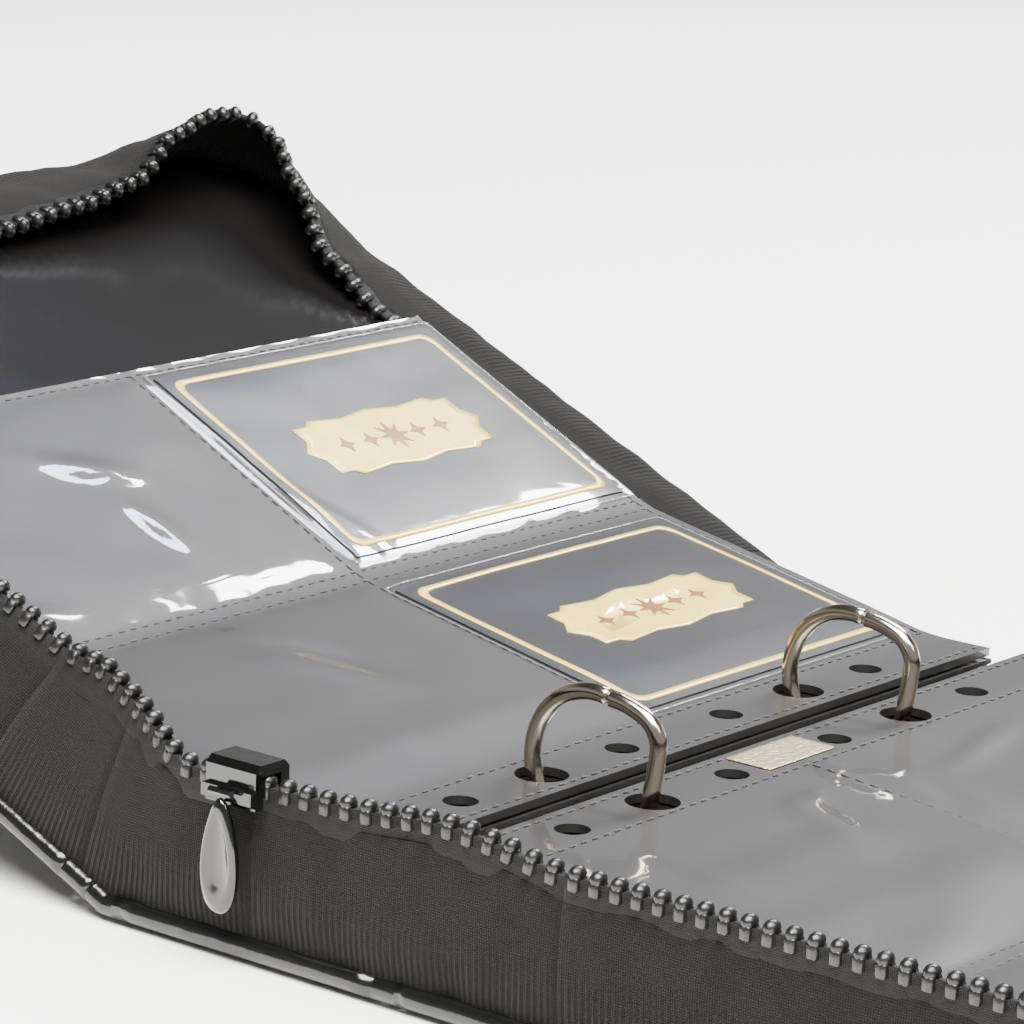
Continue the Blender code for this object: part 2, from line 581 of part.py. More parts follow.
def make_stack(prefix, page, layers, shifts, finishes):
    for (layer, depth, thick, look, axis), shift in zip(layers, shifts):
        side, hole_x, top, tilts = page
        moved = (side, hole_x + shift, top, tilts)
        sheet = page_plate(f"{prefix}_{layer}", moved, depth, thick, finishes[look], axis)
        punch(sheet, moved, axis, depth, thick)


def make_pages(finishes, top_axis, left_axis, right_axis):
    second = PAGE_STACK + SHEET_GAP
    third = second + SHEET_THICK + SHEET_GAP
    backing = PAGE_STACK - BACKING_THICK
    left = (-1, LEFT_HOLE_X, LEFT_TOP_Z, left_tilts())
    right = (1, RIGHT_HOLE_X, RIGHT_TOP_Z, right_tilts(third + SHEET_THICK))
    make_stack("left_page", left, (
        ("film", 0.0, FILM_THICK, "film", top_axis),
        ("backing", backing, BACKING_THICK, "page", top_axis),
        ("second", second, SHEET_THICK, "page", left_axis),
        ("third", third, SHEET_THICK, "page", left_axis),
    ), LEFT_SHIFTS, finishes)
    make_stack("right_page", right, (
        ("film", 0.0, FILM_THICK, "film", right_axis),
        ("backing", backing, BACKING_THICK, "page", right_axis),
        ("second", second, SHEET_THICK, "page", right_axis),
        ("third", third, SHEET_THICK, "page", right_axis),
    ), RIGHT_SHIFTS, finishes)
    for name, middle, from_end in CARD_SPOTS:
        span = (middle - CARD_SIZE[0] / 2, middle + CARD_SIZE[0] / 2)
        card = page_plate(name, left, FILM_THICK + CARD_GAP, CARD_THICK, finishes["card"], top_axis, span,
                          CARD_SIZE[1] / 2)
        card.location.y = (PAGE_LENGTH - CARD_SIZE[1]) / 2 - from_end


# ---------------------------------------------------------------- whole


def make_finishes():
    return {
        "shell": material("cover skin", (0.012, 0.012, 0.013), 0.55),
        "lining": material("smooth lining", (0.02, 0.02, 0.022), 0.3),
        "piping": material("glossy piping", (0.012, 0.012, 0.012), 0.28),
        "fabric": material("woven wall fabric", (0.022, 0.021, 0.021), 0.8),
        "zip": material("moulded zip teeth", (0.015, 0.015, 0.015), 0.4),
        "hinge": material("hinge skin", (0.012, 0.012, 0.013), 0.5),
        "pull": material("black enamel", (0.01, 0.01, 0.01), 0.2),
        "steel": material("plated steel", (0.55, 0.53, 0.5), 0.3, 1.0),
        "nickel": material("nickel plate", (0.62, 0.58, 0.52), 0.18, 1.0),
        "lever": material("lever", (0.03, 0.03, 0.03), 0.35),
        "page": material("page backing", (0.035, 0.035, 0.035), 0.4),
        "film": material("clear film", (0.2, 0.2, 0.2), 0.1),
        "card": material("card sleeve", (0.05, 0.05, 0.05), 0.3),
    }


def main():
    clear_scene()
    finishes = make_finishes()
    make_back_cover(finishes)
    strip_axis = joint_empty("front_strip_axis", SPINE_HINGE_X, HINGE_Z, COVER_TILT)
    cover_axis = joint_empty("front_cover_axis", -STRIP_WIDTH, 0.0, parent=strip_axis)
    make_front_cover(finishes, strip_axis, cover_axis)
    make_spine(finishes)
    make_gussets(finishes)
    chain_z = NEAR_GUSSET_TOP - CHAIN_HEIGHT / 2
    slider_axis = joint_empty("slider_axis", SLIDER_X, chain_z, y=-WALL_Y)
    outside = CHAIN_THICK / 2 + SLIDER_CLEAR + SLIDER_WALL + LUG_REACH + GAP + PULL_THICK / 2
    make_zip(finishes, slider_axis, joint_empty("pull_axis", SLIDER_X, chain_z, y=-WALL_Y - outside))
    make_ring_plate(finishes)
    blade_z = BLADE_TOP - BLADE_THICK / 2
    axis_x = PLATE_WIDTH / 2 - BLADE_AXIS
    make_ring_halves(finishes, joint_empty("ring_left_axis", PLATE_X - axis_x, blade_z),
                     joint_empty("ring_right_axis", PLATE_X + axis_x, blade_z))
    ends = (("near", -PLATE_LENGTH / 2), ("far", PLATE_LENGTH / 2))
    make_levers(finishes, {end: joint_empty(f"lever_{end}_axis", PLATE_X, blade_z, y=y) for end, y in ends})
    make_pages(finishes, joint_empty("left_top_page_axis", *LEFT_TURN),
               joint_empty("left_pages_axis", *LEFT_TURN), joint_empty("right_pages_axis", *RIGHT_TURN))


main()
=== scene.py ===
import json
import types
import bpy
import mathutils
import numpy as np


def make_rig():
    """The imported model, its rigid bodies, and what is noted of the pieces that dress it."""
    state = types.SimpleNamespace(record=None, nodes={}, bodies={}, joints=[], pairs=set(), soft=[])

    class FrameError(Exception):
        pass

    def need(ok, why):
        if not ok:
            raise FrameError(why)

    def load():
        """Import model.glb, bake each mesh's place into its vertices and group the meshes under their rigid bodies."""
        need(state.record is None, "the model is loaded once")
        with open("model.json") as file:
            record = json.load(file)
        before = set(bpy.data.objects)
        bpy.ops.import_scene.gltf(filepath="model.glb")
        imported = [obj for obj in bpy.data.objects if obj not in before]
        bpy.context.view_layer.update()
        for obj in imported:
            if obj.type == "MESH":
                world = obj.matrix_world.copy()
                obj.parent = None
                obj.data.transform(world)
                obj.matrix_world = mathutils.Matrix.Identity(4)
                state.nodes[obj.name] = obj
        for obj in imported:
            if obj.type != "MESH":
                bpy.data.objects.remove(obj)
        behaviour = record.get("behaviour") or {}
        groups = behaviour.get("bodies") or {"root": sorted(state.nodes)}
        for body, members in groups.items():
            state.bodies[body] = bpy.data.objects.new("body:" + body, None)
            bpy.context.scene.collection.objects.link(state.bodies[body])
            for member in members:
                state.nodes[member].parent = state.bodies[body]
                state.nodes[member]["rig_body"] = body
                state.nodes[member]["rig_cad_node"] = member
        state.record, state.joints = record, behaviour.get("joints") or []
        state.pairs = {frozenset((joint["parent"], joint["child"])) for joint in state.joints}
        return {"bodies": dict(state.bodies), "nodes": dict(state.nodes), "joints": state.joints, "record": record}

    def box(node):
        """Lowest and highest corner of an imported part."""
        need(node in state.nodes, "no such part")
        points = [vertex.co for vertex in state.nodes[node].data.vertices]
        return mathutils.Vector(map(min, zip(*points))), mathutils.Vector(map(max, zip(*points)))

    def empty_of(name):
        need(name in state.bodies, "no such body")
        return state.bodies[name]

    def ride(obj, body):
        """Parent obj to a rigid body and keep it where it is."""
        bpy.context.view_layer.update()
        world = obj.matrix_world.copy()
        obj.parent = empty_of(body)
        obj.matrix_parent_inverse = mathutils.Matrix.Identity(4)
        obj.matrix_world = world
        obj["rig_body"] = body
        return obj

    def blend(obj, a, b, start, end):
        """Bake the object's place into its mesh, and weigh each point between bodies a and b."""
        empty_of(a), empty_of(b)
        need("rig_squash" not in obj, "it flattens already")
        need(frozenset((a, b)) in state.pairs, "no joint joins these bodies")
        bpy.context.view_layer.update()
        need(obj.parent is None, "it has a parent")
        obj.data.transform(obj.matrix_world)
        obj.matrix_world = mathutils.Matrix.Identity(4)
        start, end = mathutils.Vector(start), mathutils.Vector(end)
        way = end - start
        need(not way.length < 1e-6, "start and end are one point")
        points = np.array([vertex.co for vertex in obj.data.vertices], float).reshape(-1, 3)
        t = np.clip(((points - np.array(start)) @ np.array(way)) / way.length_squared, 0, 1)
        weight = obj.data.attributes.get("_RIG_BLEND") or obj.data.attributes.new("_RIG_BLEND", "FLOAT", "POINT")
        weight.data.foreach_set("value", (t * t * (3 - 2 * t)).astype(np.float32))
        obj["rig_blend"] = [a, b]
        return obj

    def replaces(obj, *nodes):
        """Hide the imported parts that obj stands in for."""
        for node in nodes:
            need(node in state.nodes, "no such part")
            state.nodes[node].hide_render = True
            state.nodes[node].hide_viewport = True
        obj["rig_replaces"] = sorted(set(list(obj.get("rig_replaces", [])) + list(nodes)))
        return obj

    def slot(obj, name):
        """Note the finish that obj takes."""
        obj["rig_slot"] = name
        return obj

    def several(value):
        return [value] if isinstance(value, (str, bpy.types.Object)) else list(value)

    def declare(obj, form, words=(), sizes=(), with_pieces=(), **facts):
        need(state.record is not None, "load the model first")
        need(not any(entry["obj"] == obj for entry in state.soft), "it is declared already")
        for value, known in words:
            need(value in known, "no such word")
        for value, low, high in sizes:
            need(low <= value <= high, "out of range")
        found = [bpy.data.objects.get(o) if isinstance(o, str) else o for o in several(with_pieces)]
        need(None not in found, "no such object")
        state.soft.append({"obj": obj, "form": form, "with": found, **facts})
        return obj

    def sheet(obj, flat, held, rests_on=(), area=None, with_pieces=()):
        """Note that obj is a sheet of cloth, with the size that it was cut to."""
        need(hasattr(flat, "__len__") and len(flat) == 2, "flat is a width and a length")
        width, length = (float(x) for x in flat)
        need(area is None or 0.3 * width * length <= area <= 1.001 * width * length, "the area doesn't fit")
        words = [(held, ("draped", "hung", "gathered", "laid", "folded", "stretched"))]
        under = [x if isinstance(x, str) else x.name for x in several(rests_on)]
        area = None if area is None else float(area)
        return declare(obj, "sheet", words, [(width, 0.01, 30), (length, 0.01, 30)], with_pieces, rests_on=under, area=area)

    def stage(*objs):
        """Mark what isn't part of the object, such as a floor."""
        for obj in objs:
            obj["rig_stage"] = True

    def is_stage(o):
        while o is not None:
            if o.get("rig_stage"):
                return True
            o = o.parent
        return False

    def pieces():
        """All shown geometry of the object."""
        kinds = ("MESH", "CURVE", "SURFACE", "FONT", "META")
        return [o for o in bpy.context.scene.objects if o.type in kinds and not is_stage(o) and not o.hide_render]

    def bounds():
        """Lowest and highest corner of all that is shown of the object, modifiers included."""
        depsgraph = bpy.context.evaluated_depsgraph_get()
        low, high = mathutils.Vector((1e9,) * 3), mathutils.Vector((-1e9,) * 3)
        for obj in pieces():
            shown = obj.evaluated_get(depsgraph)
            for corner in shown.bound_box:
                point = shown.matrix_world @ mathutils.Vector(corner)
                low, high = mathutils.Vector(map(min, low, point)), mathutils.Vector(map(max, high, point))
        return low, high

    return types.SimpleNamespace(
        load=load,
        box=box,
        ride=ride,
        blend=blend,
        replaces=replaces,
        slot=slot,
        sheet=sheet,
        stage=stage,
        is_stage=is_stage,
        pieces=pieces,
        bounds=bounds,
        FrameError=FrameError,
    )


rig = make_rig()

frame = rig.load()

import json
import math

import bmesh
import bpy
import numpy as np
from mathutils import Matrix, Vector, noise

cad_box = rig.bounds()
MM = 0.001


# ---------------------------------------------------------------- table, light and camera
# A pale matt table top under a broad soft light from above and behind, with a long softbox whose
# reflection runs over the pages' film, and a small warm lamp that picks out the plated rings.

def linear(code):
    """An sRGB hex colour as linear red, green, blue and alpha."""
    parts = [int(code[i : i + 2], 16) / 255 for i in (0, 2, 4)]
    return tuple(c / 12.92 if c <= 0.04045 else ((c + 0.055) / 1.055) ** 2.4 for c in parts) + (1.0,)


def add(tree, kind, links=None, **settings):
    """A node with its settings. links gives an input's value, or the socket that feeds it."""
    made = tree.nodes.new(kind)
    for name, value in settings.items():
        setattr(made, name, value)
    for key, value in (links or {}).items():
        socket = made.inputs[key]
        if isinstance(value, bpy.types.NodeSocket):
            tree.links.new(value, socket)
        else:
            socket.default_value = value
    return made


def finish_of(name, colour, roughness, metallic=0.0, **sockets):
    """A new material with its Principled shader, its tree and its shader node."""
    made = bpy.data.materials.new(name)
    made.use_nodes = True
    shader = made.node_tree.nodes["Principled BSDF"]
    shader.inputs["Base Color"].default_value = linear(colour)
    shader.inputs["Roughness"].default_value = roughness
    shader.inputs["Metallic"].default_value = metallic
    for key, value in sockets.items():
        shader.inputs[key.replace("_", " ")].default_value = value
    return made, made.node_tree, shader


def bump_into(tree, shader, height, strength, distance, socket="Normal"):
    bump = add(tree, "ShaderNodeBump", {"Height": height, "Strength": strength, "Distance": distance})
    tree.links.new(bump.outputs["Normal"], shader.inputs[socket])
    return bump


table_paint, _, _ = finish_of("pale matt table top", "F7F7F6", 0.9)
floor_mesh = bpy.data.meshes.new("table_top")
reach = 14.0
floor_mesh.from_pydata([(-reach, -reach, 0), (reach, -reach, 0), (reach, reach, 0), (-reach, reach, 0)], [],
                       [(0, 1, 2, 3)])
floor = bpy.data.objects.new("table_top", floor_mesh)
bpy.context.scene.collection.objects.link(floor)
floor_mesh.materials.append(table_paint)
floor.location.z = -0.0006
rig.stage(floor)

world = bpy.data.worlds.new("studio")
bpy.context.scene.world = world
world.use_nodes = True
sky = world.node_tree.nodes["Background"]
sky.inputs["Color"].default_value = linear("F2F1EF")
sky_way = add(world.node_tree, "ShaderNodeTexCoord").outputs["Generated"]
sky_height = add(world.node_tree, "ShaderNodeSeparateXYZ", {"Vector": sky_way}).outputs["Z"]
sky_glow = add(world.node_tree, "ShaderNodeMapRange", {"Value": sky_height, "From Min": 0.40,
                                                       "From Max": 0.62, "To Min": 0.42, "To Max": 0.07})
world.node_tree.links.new(sky_glow.outputs["Result"], sky.inputs["Strength"])


def softbox(name, spot, aim, size, power, colour):
    lamp = bpy.data.lights.new(name, "AREA")
    lamp.shape = "RECTANGLE"
    lamp.size, lamp.size_y = size
    lamp.energy = power
    lamp.color = linear(colour)[:3]
    made = bpy.data.objects.new(name, lamp)
    made.location = spot
    made.rotation_euler = (Vector(aim) - Vector(spot)).to_track_quat("-Z", "Y").to_euler()
    bpy.context.scene.collection.objects.link(made)


softbox("overhead", (0.7, -0.7, 2.2), (0, 0, 0), (2.0, 1.6), 400, "FFFDF8")
softbox("back_window", (-0.16, 1.42, 1.24), (-0.12, 0.0, 0.05), (0.42, 0.26), 34, "FFFFFF")
softbox("streak_window", (-0.42, 0.92, 1.36), (-0.12, 0.0, 0.05), (0.5, 0.2), 16, "E3ECFF")
softbox("ring_lamp", (1.4, 0.1, 1.2), (0, 0, 0.02), (0.3, 0.5), 9, "FFF0DC")

camera_data = bpy.data.cameras.new("camera")
camera_data.lens = 154.69
camera_data.clip_start = 0.01
camera = bpy.data.objects.new("camera", camera_data)
camera_right = Vector((0.7806, 0.6240, 0.0367)).normalized()
camera_ahead = Vector((-0.6014, 0.7656, -0.2284)).normalized()
camera_up = camera_right.cross(camera_ahead)
camera.matrix_world = Matrix.Translation((0.4502, -0.6392, 0.2417)) @ Matrix(
    (camera_right, camera_up, -camera_ahead)).transposed().to_4x4()
bpy.context.scene.collection.objects.link(camera)
bpy.context.scene.camera = camera


# ---------------------------------------------------------------- cover boards and hinges
# Greyboard covers under a black grained synthetic leather, with a smooth glossier lining inside. Sewn
# and glued. The skin alone bends at the hinge lines, where it is pressed into beads.

joints = {joint["name"]: joint for joint in frame["joints"]}
spine_hinge = Vector(joints["front_cover_fold"]["pos_m"])
cover_hinge = Vector(joints["front_cover_flat"]["pos_m"])
back_hinge = Vector(joints["back_cover_fold"]["pos_m"])
ring_middle = Vector(joints["left_pages_turn"]["pos_m"])
COVER_TILT = math.radians(-joints["front_cover_flat"]["range_deg"][0])


def own_noise(tree, scale, detail):
    """Noise laid out in the piece's own metres."""
    spot = add(tree, "ShaderNodeTexCoord").outputs["Object"]
    return add(tree, "ShaderNodeTexNoise", {"Vector": spot, "Scale": scale, "Detail": detail}).outputs["Fac"]


def grained_leather(name, colour, roughness, grain_mm, depth):
    """Pebbled synthetic leather: shallow cells pressed in by a roller."""
    made, tree, shader = finish_of(name, colour, roughness, Specular_IOR_Level=0.5)
    spot = add(tree, "ShaderNodeTexCoord").outputs["Object"]
    cells = add(tree, "ShaderNodeTexVoronoi", {"Vector": spot, "Scale": 1000 / grain_mm, "Randomness": 1.0},
                feature="SMOOTH_F1")
    height = add(tree, "ShaderNodeMath", {0: cells.outputs["Distance"], 1: own_noise(tree, 2600.0, 3.0)},
                 operation="ADD")
    bump_into(tree, shader, height.outputs[0], 0.5, depth)
    shade = add(tree, "ShaderNodeMapRange", {"Value": own_noise(tree, 22.0, 4.0), "To Min": roughness - 0.08,
                                             "To Max": roughness + 0.12})
    tree.links.new(shade.outputs["Result"], shader.inputs["Roughness"])
    return made


cover_skin = grained_leather("grained synthetic leather", "0C0B0B", 0.46, 1.1, 0.00012)

lining_skin, lining_tree, lining_shader = finish_of("smooth coated lining", "100F0F", 0.16,
                                                    Specular_IOR_Level=0.5)
lining_mix = add(lining_tree, "ShaderNodeMath", {0: own_noise(lining_tree, 3200.0, 2.0), 1: 0.03,
                                                 2: own_noise(lining_tree, 26.0, 2.0)},
                 operation="MULTIPLY_ADD")
bump_into(lining_tree, lining_shader, lining_mix.outputs[0], 0.18, 0.0016)


def paint(node_name, finish_material):
    mesh = frame["nodes"][node_name].data
    mesh.materials.clear()
    mesh.materials.append(finish_material)


def put(name, mesh, finish_material, smooth=True):
    mesh.materials.clear()
    mesh.materials.append(finish_material)
    if smooth:
        mesh.shade_smooth()
    made = bpy.data.objects.new(name, mesh)
    bpy.context.scene.collection.objects.link(made)
    return made


def applied(made, angle=None):
    """Bakes a piece's modifiers into its mesh."""
    bpy.context.view_layer.update()
    mesh = bpy.data.meshes.new_from_object(made.evaluated_get(bpy.context.evaluated_depsgraph_get()))
    made.modifiers.clear()
    made.data = mesh
    mesh.shade_smooth()
    if angle:
        mesh.set_sharp_from_angle(angle=math.radians(angle))
    return made


def rounded(node_name, body, slot, finish_material, radius, segments=3):
    """A CAD piece with its edges rounded over, as turned leather, a casting or pressed sheet has."""
    source = frame["nodes"][node_name]
    mesh = source.data.copy()
    mesh.transform(source.matrix_world)
    made = put(f"{node_name}_rounded", mesh, finish_material)
    soft = made.modifiers.new("round", "BEVEL")
    soft.width, soft.segments, soft.limit_method = radius, segments, "ANGLE"
    applied(made, 35)
    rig.replaces(made, node_name)
    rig.slot(made, slot)
    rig.ride(made, body)
    return made


for part, body in (("spine_shell", "spine"), ("front_cover_shell", "front_cover"),
                   ("back_cover_shell", "back_cover"), ("front_hinge_strip", "front_strip")):
    rounded(part, body, "shell", cover_skin, 0.8 * MM)
for body in ("spine", "front_cover", "back_cover"):
    rounded(f"{body}_lining", body, "lining", lining_skin, 0.7 * MM)
for bead in ("front_hinge_bead", "spine_hinge_bead", "back_hinge_bead"):
    paint(bead, cover_skin)


# ---------------------------------------------------------------- piping
# A round cord in glossy black vinyl, sewn into the seam between each cover and its wall.

PIPING_RADIUS = 2.2 * MM


def from_bmesh(name, work, finish_material, smooth=True):
    bmesh.ops.recalc_face_normals(work, faces=work.faces)
    mesh = bpy.data.meshes.new(name)
    work.to_mesh(mesh)
    work.free()
    return put(name, mesh, finish_material, smooth)


def skin_rings(work, rings, closed_ends=True):
    sides = len(rings[0])
    for a, b in zip(rings, rings[1:]):
        for k in range(sides):
            work.faces.new((a[k], a[(k + 1) % sides], b[(k + 1) % sides], b[k]))
    if closed_ends:
        work.faces.new(list(reversed(rings[0])))
        work.faces.new(rings[-1])


def rod(name, points, radius, sides, finish_material, radii=None):
    """A round bar through points, its section carried along without twisting."""
    points = [Vector(p) for p in points]
    work = bmesh.new()
    rings = []
    first = (points[1] - points[0]).normalized()
    normal = first.orthogonal().normalized()
    for i, point in enumerate(points):
        along = (points[min(i + 1, len(points) - 1)] - points[max(i - 1, 0)]).normalized()
        normal = (normal - along * normal.dot(along)).normalized()
        other = along.cross(normal)
        size = radii[i] if radii else radius
        turns = [2 * math.pi * k / sides for k in range(sides)]
        rings.append([work.verts.new(point + (normal * math.cos(t) + other * math.sin(t)) * size)
                      for t in turns])
    skin_rings(work, rings)
    return from_bmesh(name, work, finish_material)


def edge_run(start, outer, half, radius, step=2.5 * MM):
    """Three sides of a cover in its own plane, from the near hinge end to the far one: each spot as its
    distance from the hinge, its y, and its inward direction, with its length along the run."""
    straight, bend, across = outer - radius - start, radius * math.pi / 2, 2 * (half - radius)
    total = 2 * straight + 2 * bend + across
    count = int(total / step)
    run = []
    for i in range(count + 1):
        s = total * i / count
        if s <= straight:
            spot, inward = (start + s, -half), (0.0, 1.0)
        elif s <= straight + bend:
            turn = (s - straight) / radius
            inward = (-math.sin(turn), math.cos(turn))
            spot = (outer - radius - radius * inward[0], radius - half - radius * inward[1])
        elif s <= straight + bend + across:
            spot, inward = (outer, radius - half + s - straight - bend), (-1.0, 0.0)
        elif s <= straight + 2 * bend + across:
            turn = (s - straight - bend - across) / radius
            inward = (-math.cos(turn), -math.sin(turn))
            spot = (outer - radius - radius * inward[0], half - radius - radius * inward[1])
        else:
            spot, inward = (start + total - s, half), (0.0, -1.0)
        run.append((spot, inward, s / total))
    return run


class CoverPlane:
    """Turns a distance from the hinge line, a y and a height over the cover into a place."""

    def __init__(self, hinge, across, up):
        self.hinge, self.across, self.up = hinge, across, up

    def at(self, distance, y, height):
        return self.hinge + self.across * distance + Vector((0, y, 0)) + self.up * height

    def way(self, distance, y, height):
        return self.across * distance + Vector((0, y, 0)) + self.up * height


front_plane = CoverPlane(cover_hinge, Vector((-math.cos(COVER_TILT), 0, math.sin(COVER_TILT))),
                         Vector((math.sin(COVER_TILT), 0, math.cos(COVER_TILT))))
back_plane = CoverPlane(back_hinge, Vector((1, 0, 0)), Vector((0, 0, 1)))
edge_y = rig.box("back_cover_piping")[1].y - PIPING_RADIUS
back_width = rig.box("back_cover_piping")[1].x - back_hinge.x - PIPING_RADIUS
front_width = back_width - (cover_hinge - spine_hinge).length
CORNER = 21.8 * MM
HINGE_CLEAR = 2.5 * MM

vinyl, vinyl_tree, vinyl_shader = finish_of("glossy vinyl piping", "0B0B0B", 0.2, Specular_IOR_Level=0.6)
bump_into(vinyl_tree, vinyl_shader, own_noise(vinyl_tree, 260.0, 3.0), 0.35, 0.0006)


def piping(name, plane, width, body, node_name):
    run = edge_run(HINGE_CLEAR, width, edge_y, CORNER)
    made = rod(name, [plane.at(d, y, 0.0) for (d, y), _, _ in run], PIPING_RADIUS, 16, vinyl)
    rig.replaces(made, node_name)
    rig.slot(made, "piping")
    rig.ride(made, body)


piping("front_cover_cord", front_plane, front_width, "front_cover", "front_cover_piping")
piping("back_cover_cord", back_plane, back_width, "back_cover", "back_cover_piping")
for end, y in (("near", -edge_y), ("far", edge_y)):
    low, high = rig.box(f"spine_piping_{end}")
    middle = (low.z + high.z) / 2
    span = [low.x + (high.x - low.x) * i / 12 for i in range(13)]
    cord = rod(f"spine_cord_{end}", [(x, y, middle) for x in span], PIPING_RADIUS, 16, vinyl)
    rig.replaces(cord, f"spine_piping_{end}")
    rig.slot(cord, "piping")
    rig.ride(cord, "spine")


def hinge_cord(name, points, a, b, from_point, to_point):
    """The bit of cord that bends where the piping crosses a hinge."""
    line = [Vector(p).lerp(Vector(q), k / 6) for p, q in zip(points, points[1:]) for k in range(6)]
    made = rod(name, [*line, Vector(points[-1])], PIPING_RADIUS * 0.995, 16, vinyl)
    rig.slot(made, "piping")
    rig.blend(made, a, b, from_point, to_point)


for end, y in (("near", -edge_y), ("far", edge_y)):
    low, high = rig.box(f"spine_piping_{end}")
    middle = (low.z + high.z) / 2
    inner_end, outer_end = Vector((low.x + 1 * MM, y, middle)), Vector((high.x - 1 * MM, y, middle))
    back_start = back_plane.at(HINGE_CLEAR + 1 * MM, y, 0.0)
    hinge_cord(f"back_hinge_cord_{end}", (outer_end, back_start), "spine", "back_cover", outer_end,
               back_start)
    first = Vector((spine_hinge.x, y, middle))
    strip_middle = (spine_hinge + cover_hinge) / 2 + Vector((0, y, 0))
    front_start = front_plane.at(HINGE_CLEAR + 1 * MM, y, 0.0)
    hinge_cord(f"spine_strip_cord_{end}", (inner_end, first, strip_middle), "spine", "front_strip", inner_end,
               strip_middle)
    hinge_cord(f"strip_cover_cord_{end}", (strip_middle, front_start), "front_strip", "front_cover",
               strip_middle, front_start)


# ---------------------------------------------------------------- fabric walls
# Woven black nylon, one long band sewn to the piping below and to the zip tape above. It stands up
# along the near side and round the back cover, and flops inwards round the front cover.

TAPE_WIDTH = 7 * MM


def woven(name, colour, thread_mm, roughness, depth, ribs=0.0):
    """A plain weave on the piece's own UV map, which is in metres: over and under threads both ways, with painted
    shade darkening the gaps between the threads.
    """
    made, tree, shader = finish_of(name, colour, roughness, Specular_IOR_Level=0.2, Sheen_Weight=0.02,
                                   Sheen_Roughness=0.4)
    spot = add(tree, "ShaderNodeUVMap", uv_map="UVMap").outputs["UV"]
    waves = []
    for direction in ("X", "Y"):
        wave = add(tree, "ShaderNodeTexWave", {"Vector": spot, "Scale": 1000 / thread_mm / 2,
                                               "Distortion": 0.25, "Detail": 1.0},
                   wave_type="BANDS", bands_direction=direction)
        waves.append(wave.outputs["Fac"])
    weave = add(tree, "ShaderNodeMath", {0: waves[0], 1: waves[1]}, operation="MULTIPLY")
    rib = add(tree, "ShaderNodeTexWave", {"Vector": spot, "Scale": 240.0, "Distortion": 0.6},
              wave_type="BANDS", bands_direction="X")
    height = add(tree, "ShaderNodeSeparateXYZ", {"Vector": spot}).outputs["Y"]
    low = add(tree, "ShaderNodeMapRange", {"Value": height, "From Min": 3 * MM, "From Max": 12 * MM,
                                           "To Min": ribs, "To Max": 0.0})
    ribbed = add(tree, "ShaderNodeMath", {0: rib.outputs["Fac"], 1: low.outputs["Result"]},
                 operation="MULTIPLY")
    relief = add(tree, "ShaderNodeMath", {0: weave.outputs[0], 1: ribbed.outputs[0]}, operation="ADD")
    patches = add(tree, "ShaderNodeTexNoise", {"Vector": spot, "Scale": 90.0, "Detail": 4.0})
    bump_into(tree, shader, relief.outputs[0], 0.8, depth)
    # painted shade: the colour falls towards near black where the weave is low, in the gaps between the threads
    tone = add(tree, "ShaderNodeMixRGB", {"Fac": weave.outputs[0], "Color1": linear("060606"),
                                          "Color2": linear(colour)}, blend_type="MIX")
    fade = add(tree, "ShaderNodeMapRange", {"Value": patches.outputs["Fac"], "To Min": 0.75, "To Max": 1.25})
    final = add(tree, "ShaderNodeMixRGB", {"Fac": 1.0, "Color1": tone.outputs["Color"],
                                           "Color2": fade.outputs["Result"]}, blend_type="MULTIPLY")
    tree.links.new(final.outputs["Color"], shader.inputs["Base Color"])
    return made


nylon = woven("woven nylon", "191614", 0.72, 0.9, 0.0003, 2.2)
tape_weave = woven("woven zip tape", "100F0F", 0.6, 0.6, 0.00014)


def band(name, spots, low, high, finish_material, thick, belly=0.0, rows=8, creases=0.0, seed=0):
    """A strip of cloth over (foot, rise, inward) spots, from low to high up each rise. belly pushes its
    middle outwards and creases crumples it."""
    work = bmesh.new()
    layer = work.loops.layers.uv.new("UVMap")
    grid, travelled, last = [], 0.0, None
    whole = sum((b[0] - a[0]).length for a, b in zip(spots, spots[1:]))
    for foot, rise, inward, reach_up in spots:
        if last is not None:
            travelled += (foot - last).length
        last = foot
        column = []
        from_end = min(travelled, whole - travelled)
        settle = min(from_end / (14 * MM), 1.0)
        for j in range(rows + 1):
            t = j / rows
            h = (low + (high - low) * t) * reach_up
            push = belly * math.sin(math.pi * t)
            crumple = noise.noise(Vector((travelled * 55, h * 90, seed)))
            crumple *= math.sin(math.pi * min(t * 1.2, 1))
            crumple += 0.5 * noise.noise(Vector((travelled * 130, h * 60 + 5, seed + 3)))
            push += creases * settle * crumple
            column.append((work.verts.new(foot + rise * h - inward * push), (travelled, h)))
        grid.append(column)
    for a, b in zip(grid, grid[1:]):
        for j in range(rows):
            corners = (a[j], b[j], b[j + 1], a[j + 1])
            face = work.faces.new([v for v, _ in corners])
            for loop, (_, uv) in zip(face.loops, corners):
                loop[layer].uv = uv
    mesh = bpy.data.meshes.new(name)
    work.to_mesh(mesh)
    work.free()
    made = put(name, mesh, finish_material)
    wall = made.modifiers.new("thickness", "SOLIDIFY")
    wall.thickness = thick
    wall.offset = 0.0
    return made


def eased(table, share):
    for (a, low), (b, high) in zip(table, table[1:]):
        if share <= b:
            part = (share - a) / (b - a)
            return low + (high - low) * part * part * (3 - 2 * part)
    return table[-1][1]


def leaning_spots(plane, run, foot, leans, lengths):
    """Where a leaning wall stands at each place on a cover's edge."""
    spots = []
    for (distance, y), (in_d, in_y), share in run:
        lean = math.radians(eased(leans, share))
        inward = plane.way(in_d, in_y, 0)
        up = plane.up
        rise = up * math.cos(lean) + inward * math.sin(lean)
        spots.append((plane.at(distance, y, foot), rise, inward * math.cos(lean) - up * math.sin(lean),
                      eased(lengths, share)))
    return spots


